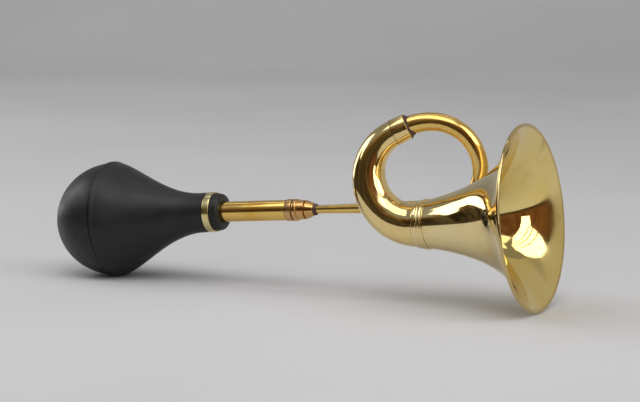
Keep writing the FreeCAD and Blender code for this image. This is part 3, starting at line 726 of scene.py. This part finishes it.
class CoilLine:
    """Centre line of the coil, from the solder at the reducer to the bell's throat."""

    def __init__(self, stem, coil, bell):
        self.pitch = coil.pitch
        self.lean = math.atan2(PIPE_AXIS.z, PIPE_AXIS.x)
        self.bell = bell
        self.start = NECK_POINT + PIPE_AXIS * lead_visible(stem)
        self.throat = throat_point(bell)
        base = self.miss(coil, 0.0)
        self.runs = self.laid(coil, base / (base - self.miss(coil, 1.0)))
        self.total = sum(run["length"] for run in self.runs)
        self.loop_start = self.runs[0]["length"]
        self.ferrule_end = self.total - self.runs[-1]["length"] - self.runs[-2]["length"]

    def closing(self, state):
        """Radius of the last bend, which ends on the bell's axis."""
        x, z, _ = state
        lean = self.bell.lean
        drop = z - self.throat.z - (x - self.throat.x) * math.tan(lean)
        return drop / (math.cos(lean) + (1 + math.sin(lean)) * math.tan(lean))

    def laid(self, coil, straight):
        """Runs one after another, for a length of the first straight."""
        runs = [run_line((self.start.x, self.start.z, self.lean), straight)]
        for radius, turn in ((coil.rise_radius, math.pi / 2 - self.lean), (coil.crown_radius, math.pi / 2),
                             (coil.exit_radius, coil.exit_turn)):
            runs.append(run_arc(runs[-1]["end"], radius, turn))
        runs.append(run_line(runs[-1]["end"], coil.ferrule_straight))
        runs.append(run_arc(runs[-1]["end"], coil.bow_radius, 1.5 * math.pi - runs[-1]["end"][2]))
        runs.append(run_arc(runs[-1]["end"], self.closing(runs[-1]["end"]), math.pi / 2 + self.bell.lean))
        return runs

    def miss(self, coil, straight):
        """How far along the bell's axis the line ends short of the throat."""
        x, z, _ = self.laid(coil, straight)[-1]["end"]
        lean = self.bell.lean
        return (self.throat.x - x) * math.cos(lean) + (self.throat.z - z) * math.sin(lean)

    def side_view(self, distance):
        """State at a distance along the runs; before the first run it goes straight back."""
        for run in self.runs:
            if distance <= run["length"] or run is self.runs[-1]:
                break
            distance -= run["length"]
        if run["radius"] is None:
            return run_line(run["start"], distance)["end"]
        return run_arc(run["start"], run["radius"], distance / run["radius"])["end"]

    def at(self, distance):
        """Point of the line, which steps sideways by the pitch, smoothly, over the loop."""
        x, z, _ = self.side_view(distance)
        share = share_between(distance, self.loop_start, self.total)
        step = share - math.sin(TAU * share) / TAU
        return Vector((x, self.start.y - self.pitch * step, z))

    def heading(self, distance):
        reach = 0.02 * MM
        return (self.at(distance + reach) - self.at(distance - reach)).normalized()


def bell_axis(bell):
    """Direction from the throat to the mouth."""
    return Vector((math.cos(bell.lean), 0, math.sin(bell.lean)))


def throat_point(bell):
    """Middle of the bell's throat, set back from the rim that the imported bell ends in."""
    low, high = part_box("bell")
    rim = BellShape(bell)
    axis = bell_axis(bell)
    bead_x = high.x - bell.bead_radius - rim.ring_radius * axis.z
    bead_z = bell.bead_radius + rim.ring_radius * axis.x + low.z
    return Vector((bead_x, (low.y + high.y) / 2, bead_z)) - axis * rim.bead_station


class BellShape:
    """Outline of the bell, from the throat to the rolled rim."""

    def __init__(self, bell):
        self.bell = bell
        growth = (bell.edge_radius / bell.throat_radius) ** (1 / bell.exponent)
        self.offset = bell.length / (growth - 1)
        slope = bell.exponent * bell.edge_radius / self.offset
        normal = 1 / math.hypot(1, slope)
        rise = bell.bead_radius - bell.wall / 2
        self.ring_radius = bell.edge_radius + rise * normal
        self.bead_station = bell.length - rise * normal * slope

    def radius(self, station):
        bell = self.bell
        return bell.edge_radius * (self.offset / (bell.length - station + self.offset)) ** bell.exponent

    def slope(self, station):
        return self.bell.exponent * self.radius(station) / (self.bell.length - station + self.offset)

    def wall_points(self, inset, count):
        """Points of the sheet's outline, moved inwards by an inset and closer together near the edge."""
        points = []
        for angle in spread(0.0, math.pi / 2, count):
            station = self.bell.length * math.sin(angle)
            slope = self.slope(station)
            normal = inset / math.hypot(1, slope)
            points.append(Vector((station + normal * slope, self.radius(station) - normal)))
        return points


class Recipe:
    """Geometry node group that ends by making its copies real and giving them a material."""

    def __init__(self, name, inputs):
        self.tree = bpy.data.node_groups.new(name, "GeometryNodeTree")
        self.sockets = {}
        for label, kind in inputs.items():
            socket = self.tree.interface.new_socket(label, in_out="INPUT", socket_type="NodeSocket" + kind)
            self.sockets[label] = socket.identifier
        self.tree.interface.new_socket("Mesh", in_out="OUTPUT", socket_type="NodeSocketGeometry")
        self.given = self.tree.nodes.new("NodeGroupInput").outputs

    def node(self, kind, values=(), **settings):
        return add_node(self.tree, kind, values, **settings).outputs[0]

    def end(self, shape):
        real = self.node("GeometryNodeRealizeInstances", {"Geometry": shape})
        painted = self.node("GeometryNodeSetMaterial", {"Geometry": real, "Material": self.given["Metal"]})
        add_node(self.tree, "NodeGroupOutput", {"Mesh": painted})

    def drawn(self, name, seed, values):
        """Plain closed mesh object that the group draws from a seed mesh and values by input name."""
        carrier = linked(name + "_seed", seed)
        modifier = carrier.modifiers.new(name, "NODES")
        modifier.node_group = self.tree
        for label, value in values.items():
            modifier[self.sockets[label]] = value
        bpy.context.view_layer.update()
        graph = bpy.context.evaluated_depsgraph_get()
        mesh = bpy.data.meshes.new_from_object(carrier.evaluated_get(graph))
        carrier.modifiers.clear()
        bpy.data.objects.remove(carrier)
        mesh.name = name
        return finished(name, mesh)


def pipe_recipe():
    """Geometry nodes that draw a round pipe on a line of points with their own radii."""
    recipe = Recipe("pipe_on_line", {"Line": "Geometry", "Sides": "Int", "Metal": "Material"})
    given, node = recipe.given, recipe.node
    radius = node("GeometryNodeInputNamedAttribute", {"Name": "pipe_radius"}, data_type="FLOAT")
    ring = node("GeometryNodeCurvePrimitiveCircle", {"Resolution": given["Sides"], "Radius": 1.0})
    curve = node("GeometryNodeMeshToCurve", {"Mesh": given["Line"]})
    recipe.end(node("GeometryNodeCurveToMesh", {"Curve": curve, "Profile Curve": ring, "Scale": radius,
                                                "Fill Caps": True}))
    return recipe


def pipe_piece(name, line, start, end, radius, finish):
    """Pipe that geometry nodes draw along a line between two stations, as a plain closed mesh."""
    stations = spread(start, end, max(2, math.ceil((end - start) / PATH_STEP)))
    seed = bpy.data.meshes.new(name + "_line")
    seed.from_pydata([line.at(station) for station in stations],
                     [(index, index + 1) for index in range(len(stations) - 1)], [])
    store = seed.attributes.new("pipe_radius", "FLOAT", "POINT")
    store.data.foreach_set("value", [radius(station) for station in stations])
    return pipe_recipe().drawn(name, seed, {"Sides": TUBE_SIDES, "Metal": finish.material})


def bow_radius(coil, line, distance):
    """Outside radius of the bow at a station on the coil's line."""
    start = line.ferrule_end - coil.bow_in_ferrule
    return coil.bow_start + (coil.bow_end - coil.bow_start) * (distance - start) / (line.total - start)


class HORN_OT_coil(bpy.types.Operator):
    """Lead pipe, ferrule, solder, bow and the stay where the pipes cross"""
    bl_idname = "horn.coil"
    bl_label = "Coil"

    def execute(self, context):
        stem, coil = context.scene.horn_stem, context.scene.horn_coil
        line = CoilLine(stem, coil, context.scene.horn_bell)
        self.lead(stem, coil, line)
        self.bow(coil, line)
        self.ferrule(coil, line)
        self.ferrule_solder(stem, coil, line)
        self.stay(stem, coil, line)
        return {"FINISHED"}

    def lead(self, stem, coil, line):
        in_reducer = 3.0 * MM
        finish = brass_finish("brass_lead", coil.brass, None, smooth=0.14, tarnish=0.9, waves=0.16, spin=False)
        piece = pipe_piece("lead_pipe", line, -stem.solder_length - in_reducer, line.ferrule_end - coil.lead_short,
                           lambda station: lead_radius(coil, station), finish)
        dress(piece, "horn", "leadpipe", finish.material)

    def bow(self, coil, line):
        finish = brass_finish("brass_bow", coil.pale_brass, None, smooth=0.075, tarnish=0.6, spots=0.6, waves=0.7,
                              spin=False)
        finish.bump(finish.cloud(105, 1, 0.4), 0.16 * MM)
        piece = pipe_piece("bow_tube", line, line.ferrule_end - coil.bow_in_ferrule, line.total,
                           lambda station: bow_radius(coil, line, station), finish)
        dress(piece, "horn", "bow", finish.material)

    def ferrule(self, coil, line):
        base = line.ferrule_end
        place = axis_frame(line.at(base), line.heading(base))
        start, fit = -coil.ferrule_length, 0.04 * MM
        inner = [bow_radius(coil, line, base + station) + fit for station in (start, 0.0)]
        corners = hoop(start, 0.0, inner, coil.ferrule_wall, (0.2 * MM, 0.15 * MM))
        finish = brass_finish("brass_ferrule", coil.pale_brass, place, smooth=0.07, tarnish=0.4, waves=0.3)
        finish.stain_and_shade_line(-0.5 * MM, 0.0)
        turned_piece("ferrule", corners, place, TUBE_SIDES, finish, "horn", "bow_ferrule")

    def ferrule_solder(self, stem, coil, line):
        """Dark fillet round the lead pipe at the ferrule's mouth, with a blob on top and a wedge underneath; the dark
        wedge is partly solder and partly a stand-in for the shade in the gap under the mouth.
        """
        mouth = line.ferrule_end - coil.ferrule_length
        place = axis_frame(line.at(mouth), line.heading(mouth))
        # Painted shade: the dark solder wedge underneath fills the step where the gap under the ferrule's mouth lies
        # in shade.
        wedge_length, wedge_height, wedge_at, wedge_width = 4.2 * MM, 2.3 * MM, math.radians(114), 0.36
        blob_length, blob_height, blob_at, blob_width = 0.6 * MM, 0.7 * MM, math.radians(248), 0.2
        inside, lump_height = 2.6 * MM, 0.25 * MM
        pipe = lead_radius(coil, mouth)
        ferrule = bow_radius(coil, line, mouth)
        corners = [(inside, pipe + 0.03 * MM), (-0.1 * MM, pipe + 0.03 * MM), (-wedge_length, pipe - 0.35 * MM)]
        corners += [(-wedge_length + (wedge_length - 0.5 * MM) * share, pipe - 0.3 * MM + 0.33 * MM * share)
                    for share in spread(0.0, 1.0, 7)[1:-1]]
        corners += [(-0.45 * MM, pipe + 0.06 * MM), (-0.05 * MM, (pipe + ferrule) / 2 + 0.25 * MM),
                    (0.1 * MM, ferrule + 0.02 * MM), (inside, ferrule + 0.02 * MM)]

        def lumpy(station, angle):
            if not -wedge_length < station <= 0.05 * MM:
                return 0.0
            near = 1 - max(-station, 0.0) / wedge_length
            close = max(0.0, 1 + station / blob_length)
            wedge = wedge_height * near * math.exp(-((angle - wedge_at) / wedge_width) ** 2)
            blob = blob_height * close * math.exp(-((angle - blob_at) / blob_width) ** 2)
            at = Vector((station * 500, math.cos(angle) * 2.3, math.sin(angle) * 2.3))
            return wedge + blob + lump_height * close * max(noise.noise(at), 0.0)
        turned_piece("ferrule_solder_fillet", corners, place, TUBE_SIDES,
                     solder_finish("solder_ferrule", stem.solder, place), "horn", "ferrule_solder",
                     ripple=lumpy)

    def stay(self, stem, coil, line):
        """Post from the bow, a little short of the throat, up to the lead pipe."""
        before_throat, sides = 7.5 * MM, 48
        foot = line.at(line.total - before_throat)
        along = (foot.x - NECK_POINT.x) / PIPE_AXIS.x
        head = NECK_POINT + PIPE_AXIS * along
        place = axis_frame(foot, head - foot)
        start = coil.bow_end - 0.6 * MM
        end = (head - foot).length - lead_radius(coil, along - lead_visible(stem)) + 0.4 * MM
        corners = [(start, 0.0), (start, coil.stay_radius), ((start + end) / 2, coil.stay_radius * 0.8),
                   (end, coil.stay_radius, 0.2 * MM), (end, 0.0)]
        finish = brass_finish("brass_stay", coil.brass, None, smooth=0.12, tarnish=0.8, spin=False)
        turned_piece("stay_post", corners, place, sides, finish, "horn", "coil_stay", closed=False)


# ---- Bell ----------------------------------------------------------------------------------------
def bead_recipe():
    """Geometry nodes that set out turned beads along an axis, each a little larger than the last."""
    recipe = Recipe("turned_beads", {"Beads": "Int", "Spacing": "Float", "Ring radius": "Float",
                                     "Section radius": "Float", "Growth": "Float", "Metal": "Material"})
    given, node = recipe.given, recipe.node
    offset = node("ShaderNodeCombineXYZ", {"X": given["Spacing"]})
    spots = node("GeometryNodeMeshLine", {"Count": given["Beads"], "Offset": offset})
    path = node("GeometryNodeCurvePrimitiveCircle", {"Resolution": FINE_SIDES, "Radius": given["Ring radius"]})
    section = node("GeometryNodeCurvePrimitiveCircle", {"Resolution": BEAD_SIDES, "Radius": given["Section radius"]})
    ring = node("GeometryNodeCurveToMesh", {"Curve": path, "Profile Curve": section})
    turned = node("GeometryNodeTransform", {"Geometry": ring, "Rotation": (0, math.pi / 2, 0)})
    scale = node("ShaderNodeMath", {0: node("GeometryNodeInputIndex"), 1: given["Growth"], 2: 1.0},
                 operation="MULTIPLY_ADD")
    recipe.end(node("GeometryNodeInstanceOnPoints", {"Points": spots, "Instance": turned, "Scale": scale}))
    return recipe


class HORN_OT_bell(bpy.types.Operator):
    """Flared bell with its rolled rim, and the throat ring with its turned beads"""
    bl_idname = "horn.bell"
    bl_label = "Bell"

    def execute(self, context):
        bell = context.scene.horn_bell
        shape = BellShape(bell)
        place = axis_frame(throat_point(bell), bell_axis(bell))
        self.sheet(bell, shape, place)
        self.ring(bell, shape, place)
        paint_node("rim_wire", plain_metal("rim_steel_wire", (0.5, 0.5, 0.52), 0.35))
        return {"FINISHED"}

    def sheet(self, bell, shape, place):
        """The flare's outside, the bead that rolls in at the rim, the inside, and the tail in the throat ring."""
        wall_steps, bead_steps, bead_opening = 72, 28, 1.55
        tail, tail_drop, tail_rise = 2.5 * MM, 1.1 * MM, 0.25 * MM
        outside = shape.wall_points(0.0, wall_steps)
        inside = shape.wall_points(bell.wall, wall_steps)
        middle = Vector((shape.bead_station, shape.ring_radius))
        foot = outside[-1] - middle
        entry = math.atan2(foot.y, foot.x) - math.acos(foot.length / bell.bead_radius)
        outside = [spot for spot in outside if (spot - middle).length > bell.bead_radius * 1.05]
        bead = [middle + Vector((math.cos(angle), math.sin(angle))) * bell.bead_radius
                for angle in spread(entry, entry + bead_opening - TAU, bead_steps)]
        tip = bell.throat_radius - tail_drop
        points = outside + bead + inside[::-1]
        points += [Vector((-tail, tip - bell.wall)), Vector((-tail, tip)), Vector((0, tip + tail_rise))]
        piece = turned_mesh("bell_flare", points, place, FINE_SIDES)
        finish = brass_finish("brass_bell", bell.brass, place, smooth=0.045, tarnish=0.5, spots=0.35, waves=0.5,
                              haze=0.025)
        self.age(finish, bell, points)
        dress(piece, "horn", "bell", finish.material)

    def age(self, finish, bell, points):
        """Deepens and hazes the brass inside the sheet, which polish hardly reaches, and browns its bead."""
        run = finish.node("ShaderNodeUVMap", uv_map="turn_and_run")["UV"]
        half = sum((b - a).length for a, b in zip(points, points[1:])) / 2
        along = finish.maths("SUBTRACT", finish.node("ShaderNodeSeparateXYZ", {"Vector": run})["Y"], half)
        inside = finish.maths("GREATER_THAN", along, 0.0)
        clouds = finish.band(finish.cloud(30, 3, 0.5, warp=0.8), 0.3, 0.7, 0.55, 1.0)
        finish.tint(finish.maths("MULTIPLY", inside, clouds), tuple(bell.inner_brass))
        streaks = finish.band(finish.cloud(36, 2, 0.5, stretch=(0.35, 1.0, 1.0), warp=0.5), 0.58, 0.70, 0.0, 0.45)
        finish.tint(finish.maths("MULTIPLY", inside, streaks), tuple(bell.edge_stain))
        bead = finish.maths("MULTIPLY", finish.band(along, -5.5 * MM, -4.5 * MM),
                            finish.band(along, 0.0, 1.5 * MM, 0.6, 0.0))
        finish.tint(bead, tuple(bell.edge_stain))
        flare = finish.band(along, 5 * MM, 22 * MM, bell.flare_haze, 0.0)
        finish.roughness(finish.maths("ADD", finish.polish, finish.maths("MULTIPLY", inside, flare)))

    def ring(self, bell, shape, place):
        """Sleeve with a rolled band at the joint, and the turned beads at its far end."""
        fit, wall, crown = 0.04 * MM, bell.ring_wall, bell.crown_width
        start = bell.joint_gap
        end = start + bell.ring_length
        inner, outer = shape.radius(start) + fit, shape.radius(end) + fit
        half, whole = [inner + (outer - inner) * share * crown / bell.ring_length + wall for share in (0.5, 1.0)]
        swell = half + bell.bead_height * 0.7
        corners = [(start, inner), (start, inner + wall, 0.15 * MM), (start + crown * 0.25, swell, 0.8 * MM),
                   (start + crown * 0.75, swell, 0.8 * MM), (start + crown, whole, 0.2 * MM),
                   (end, outer + wall, 0.2 * MM), (end, outer)]
        finish = brass_finish("brass_ring", bell.brass, place, smooth=0.07, tarnish=0.35, waves=0.2)
        finish.stain_and_shade_line(start - 0.2 * MM, start + 0.35 * MM)
        turned_piece("throat_sleeve", corners, place, FINE_SIDES, finish, "horn", "throat_ring")
        spacing = bell.bead_width + bell.bead_gap
        section = bell.bead_width / 2
        first = end - 1.0 * MM - section - spacing * (bell.bead_count - 1)
        ring_radius = shape.radius(first) + fit + wall + bell.bead_height - section
        growth = (shape.radius(first + spacing) - shape.radius(first)) / ring_radius
        seed = bpy.data.meshes.new("throat_beads_seed")
        beads = bead_recipe().drawn("throat_beads", seed, {
            "Beads": bell.bead_count, "Spacing": spacing, "Ring radius": ring_radius, "Section radius": section,
            "Growth": growth, "Metal": finish.material})
        beads.data.transform(place @ Matrix.Translation((first, 0, 0)))
        beads.data.materials.clear()
        beads.data.materials.append(finish.material)
        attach(beads, "horn")


# ---- Stage ---------------------------------------------------------------------------------------
EYE_HEIGHT = 60.0 * MM                # height on the horn that the room is laid out for
FLOOR_GAP = 4.0 * MM
CARD_STEP = 3.0                       # degrees


def level_at(line, turn):
    """Height of a line of (turn, rise) points at a turn."""
    for (turn_a, rise_a), (turn_b, rise_b) in zip(line, line[1:]):
        if turn_a <= turn <= turn_b:
            return rise_a + (rise_b - rise_a) * (turn - turn_a) / (turn_b - turn_a)
    return line[0][1] if turn < line[0][0] else line[-1][1]


def point_at(thing, place, target):
    """Puts a lamp or camera at a place and turns it to a target."""
    thing.location = place
    thing.rotation_euler = (target - place).to_track_quat("-Z", "Y").to_euler()


class HORN_OT_stage(bpy.types.Operator):
    """Pale floor and backdrop, soft lamps, the dim room behind the camera, and the camera"""
    bl_idname = "horn.stage"
    bl_label = "Stage"

    def execute(self, context):
        stage = context.scene.horn_stage
        scene = context.scene
        scene.view_settings.view_transform = "Standard"
        self.sweep(stage)
        self.room(stage)
        self.world(scene)
        self.lamps(stage)
        self.camera(scene, stage)
        return {"FINISHED"}

    def view_direction(self, stage):
        flat = math.cos(stage.elevation)
        return Vector((math.sin(stage.azimuth) * flat, -math.cos(stage.azimuth) * flat, math.sin(stage.elevation)))

    def sweep(self, stage):
        """Floor that curves up into a backdrop."""
        radius, back, front, half, top = 0.9, 2.0, -4.5, 5.0, 3.5
        line = [(front, 0.0)]
        line += [(back + radius * math.sin(angle), radius * (1 - math.cos(angle)))
                 for angle in spread(0.0, math.pi / 2, 24)]
        line.append((back + radius, top))
        base = tuple(stage.floor)
        finish = Finish("paper_sweep", 0.75, 0.0, shaded(base, 0.97))
        finish.tint(finish.band(finish.cloud(2.2, 2, 0.5), 0.3, 0.7), shaded(base, 1.03))
        sweep = self.strip("studio_sweep", [(x, y, z) for y, z in line for x in (half, -half)], finish.material)
        sweep.data.shade_smooth()
        sweep.rotation_euler.z = stage.azimuth

    def around(self, stage, turn, reach, height):
        """Point round the horn: degrees right of the camera, metres out, metres up."""
        angle = stage.azimuth + math.radians(turn)
        return (reach * math.sin(angle), -reach * math.cos(angle), height)

    def strip(self, name, spots, material):
        """Sheet along pairs of points."""
        mesh = bpy.data.meshes.new(name)
        mesh.from_pydata(spots, [], [(at, at + 2, at + 3, at + 1) for at in range(0, len(spots) - 2, 2)])
        mesh.materials.append(material)
        return linked(name, mesh)

    def mirrored(self, name, spots, material):
        """Strip that is seen only in mirrors."""
        sheet = self.strip(name, spots, material)
        sheet.visible_camera = sheet.visible_shadow = sheet.visible_diffuse = False

    def card(self, stage, name, reach, low, high, material):
        """Upright sheet round the horn between two lines of (turn, rise) in degrees, seen only in mirrors."""
        turns = sorted({turn for turn, _ in low + high})
        fine = turns[-1:]
        for first, last in zip(turns, turns[1:]):
            fine += spread(first, last, max(1, round((last - first) / CARD_STEP)))[:-1]
        spots = []
        for turn in sorted(fine):
            for line in (low, high):
                height = EYE_HEIGHT + reach * math.tan(math.radians(level_at(line, turn)))
                spots.append(self.around(stage, turn, reach, max(height, FLOOR_GAP)))
        self.mirrored(name, spots, material)

    def room(self, stage):
        """The dim room and its windows, which only the polished brass shows."""
        near_edge, far_edge, wall, floor_steps = 0.46, 0.68, 2.1, 72
        bar_half, bar_top = 0.75, 58
        skyline = ((-138, -1), (-127, 3), (-118, 12), (-112, 26), (-103, 29), (-94, 22), (-76, 25), (-55, 34),
                   (-20, 40), (34, 42), (37, 18), (62, 21), (68, 25), (71, 25))
        left, right = skyline[0][0], skyline[-1][0]
        dim = self.room_finish()
        self.card(stage, "room_wall", wall, ((left, -90), (right, -90)), skyline, dim)
        floor = []
        for turn in spread(left, right, floor_steps):
            edge = near_edge + (far_edge - near_edge) * share_between(turn, 5, 55)
            floor += [self.around(stage, turn, reach, FLOOR_GAP) for reach in (edge, wall)]
        self.mirrored("room_floor", floor, dim)
        self.card(stage, "left_window", 1.45,
                  ((-141, -4), (-136, -4), (-127, 0), (-117, 11), (-112, 24), (-103, 27), (-94, 21), (-84, 20)),
                  ((-141, 2), (-136, 9), (-133, 19), (-131, 30), (-121, 39), (-105, 43), (-84, 33)),
                  self.glow_finish("left_window_glow", (2.8, 2.85, 2.9)))
        self.card(stage, "right_window", 1.25,
                  ((32, 34), (34, 4), (43, 4), (45, 16), (64, 22), (74, 25), (79, 33)),
                  ((32, 42), (45, 56), (60, 57), (76, 50), (79, 42)),
                  self.glow_finish("right_window_glow", (3.6, 3.5, 3.3)))
        self.card(stage, "pale_wall", 1.5, ((71, -3), (165, -3)), ((71, 24), (80, 50), (110, 64), (165, 64)),
                  self.glow_finish("pale_wall_glow", (0.47, 0.45, 0.41)))
        bar = self.glow_finish("window_bar", (0.09, 0.07, 0.05))
        for turn, foot in ((43, 16), (48.5, 17), (56, 19)):
            low, high = [tuple((turn + side, rise) for side in (-bar_half, bar_half)) for rise in (foot, bar_top)]
            self.card(stage, "window_bar", 1.2, low, high, bar)

    def unlit_finish(self, name):
        """Matt black that only glows."""
        finish = Finish(name, 0.9, 0.0, (0.0, 0.0, 0.0))
        finish.inputs["Base Color"].default_value = (0.0, 0.0, 0.0, 1)
        finish.inputs["Specular IOR Level"].default_value = 0.0
        finish.inputs["Emission Strength"].default_value = 1.0
        return finish

    def glow_finish(self, name, tone):
        """Even glow of a colour whose parts may be over 1."""
        finish = self.unlit_finish(name)
        strength = max(tone)
        finish.inputs["Emission Color"].default_value = (*(part / strength for part in tone), 1)
        finish.inputs["Emission Strength"].default_value = strength
        return finish.material

    def room_finish(self):
        """Brown room in upright streaks, redder on the right, nearly black in the far right corner."""
        finish = self.unlit_finish("room_dim")
        streaks = finish.band(finish.cloud(5.0, 3, 0.6, stretch=(1.0, 1.0, 0.18)), 0.34, 0.66)
        high = finish.band(finish.axis("Z"), 0.55, 1.25, 0.0, 0.8)
        right = finish.band(finish.axis("X"), 0.45, 1.4)
        far_corner = finish.maths("MULTIPLY", finish.band(finish.axis("Y"), -0.02, 0.18), right)
        tone = finish.mix(streaks, (0.016, 0.012, 0.008), (0.10, 0.078, 0.048))
        for share, dark, pale in ((high, (0.13, 0.065, 0.024), (0.30, 0.19, 0.085)),
                                  (right, (0.12, 0.050, 0.026), (0.21, 0.10, 0.055))):
            tone = finish.mix(share, tone, finish.mix(streaks, dark, pale))
        tone = finish.mix(far_corner, tone, (0.028, 0.026, 0.022))
        finish.tree.links.new(tone, finish.inputs["Emission Color"])
        return finish.material

    def world(self, scene):
        """Even pale light from all round."""
        world = bpy.data.worlds.new("studio_air")
        world.use_nodes = True
        ground = world.node_tree.nodes["Background"]
        ground.inputs["Color"].default_value = (0.66, 0.66, 0.68, 1)
        ground.inputs["Strength"].default_value = 0.42
        scene.world = world

    def lamp(self, name, place, aim, size, power, tint):
        """Soft rectangular lamp that is aimed at a point."""
        light = bpy.data.lights.new(name, "AREA")
        light.shape = "RECTANGLE"
        light.size, light.size_y = size
        light.energy = power
        light.color = tint
        lamp = linked(name, light)
        point_at(lamp, Vector(place), Vector(aim))
        return lamp

    def lamps(self, stage):
        table = (0.05, 0.0, 0.05)
        white, warm = (1.0, 0.99, 0.98), (1.0, 0.985, 0.96)
        self.lamp("overhead_box", (0.0, -0.50, 1.5), table, (1.5, 1.0), 7.5, white)
        for turn, reach, height, size, power in ((-112, 1.55, 1.2, (2.0, 1.0), 10.0),
                                                 (58, 1.34, 1.05, (1.0, 1.15), 6.0)):
            window = self.lamp("window_light", self.around(stage, turn, reach, height), table, size, power, warm)
            window.visible_glossy = False
        self.lamp("front_box", (0.6, -1.1, 1.6), (0.2, -0.6, 0.0), (1.2, 0.6), 3.0, white)
        self.lamp("backdrop_box", (-0.5, 0.9, 2.6), (-0.6, 3.0, 0.9), (2.4, 0.8), 11.0, (1.0, 1.0, 1.0))

    def camera(self, scene, stage):
        view = bpy.data.cameras.new("studio_camera")
        view.lens = stage.lens
        view.sensor_width = 36.0
        view.clip_end = 30.0
        camera = linked("studio_camera", view)
        target = Vector(stage.target)
        point_at(camera, target + self.view_direction(stage) * stage.distance, target)
        scene.camera = camera


class HORN_PT_panel(bpy.types.Panel):
    """Buttons and sizes of the bulb horn"""
    bl_idname = "HORN_PT_panel"
    bl_label = "Bulb Horn"
    bl_space_type = "VIEW_3D"
    bl_region_type = "UI"
    bl_category = "Bulb Horn"

    def draw(self, context):
        layout = self.layout
        for operator, group in OPERATORS:
            box = layout.box()
            box.operator(operator.bl_idname)
            settings = getattr(context.scene, group, None) if group else None
            if settings:
                for name in settings.__annotations__:
                    box.prop(settings, name)


OPERATORS = (
    (HORN_OT_bulb, "horn_bulb"),
    (HORN_OT_stem, "horn_stem"),
    (HORN_OT_reed, None),
    (HORN_OT_coil, "horn_coil"),
    (HORN_OT_bell, "horn_bell"),
    (HORN_OT_stage, "horn_stage"),
)
GROUPS = {
    "horn_bulb": BulbSettings,
    "horn_stem": StemSettings,
    "horn_coil": CoilSettings,
    "horn_bell": BellSettings,
    "horn_stage": StageSettings,
}
CLASSES = tuple(GROUPS.values()) + tuple(operator for operator, _ in OPERATORS) + (HORN_PT_panel,)


def register():
    for item in CLASSES:
        bpy.utils.register_class(item)
    for name, group in GROUPS.items():
        setattr(bpy.types.Scene, name, bpy.props.PointerProperty(type=group))


def unregister():
    for name in GROUPS:
        delattr(bpy.types.Scene, name)
    for item in reversed(CLASSES):
        bpy.utils.unregister_class(item)


def main():
    register()
    bpy.ops.horn.bulb()
    bpy.ops.horn.stem()
    bpy.ops.horn.reed()
    bpy.ops.horn.coil()
    bpy.ops.horn.bell()
    bpy.ops.horn.stage()


if __name__ == "__main__":
    main()
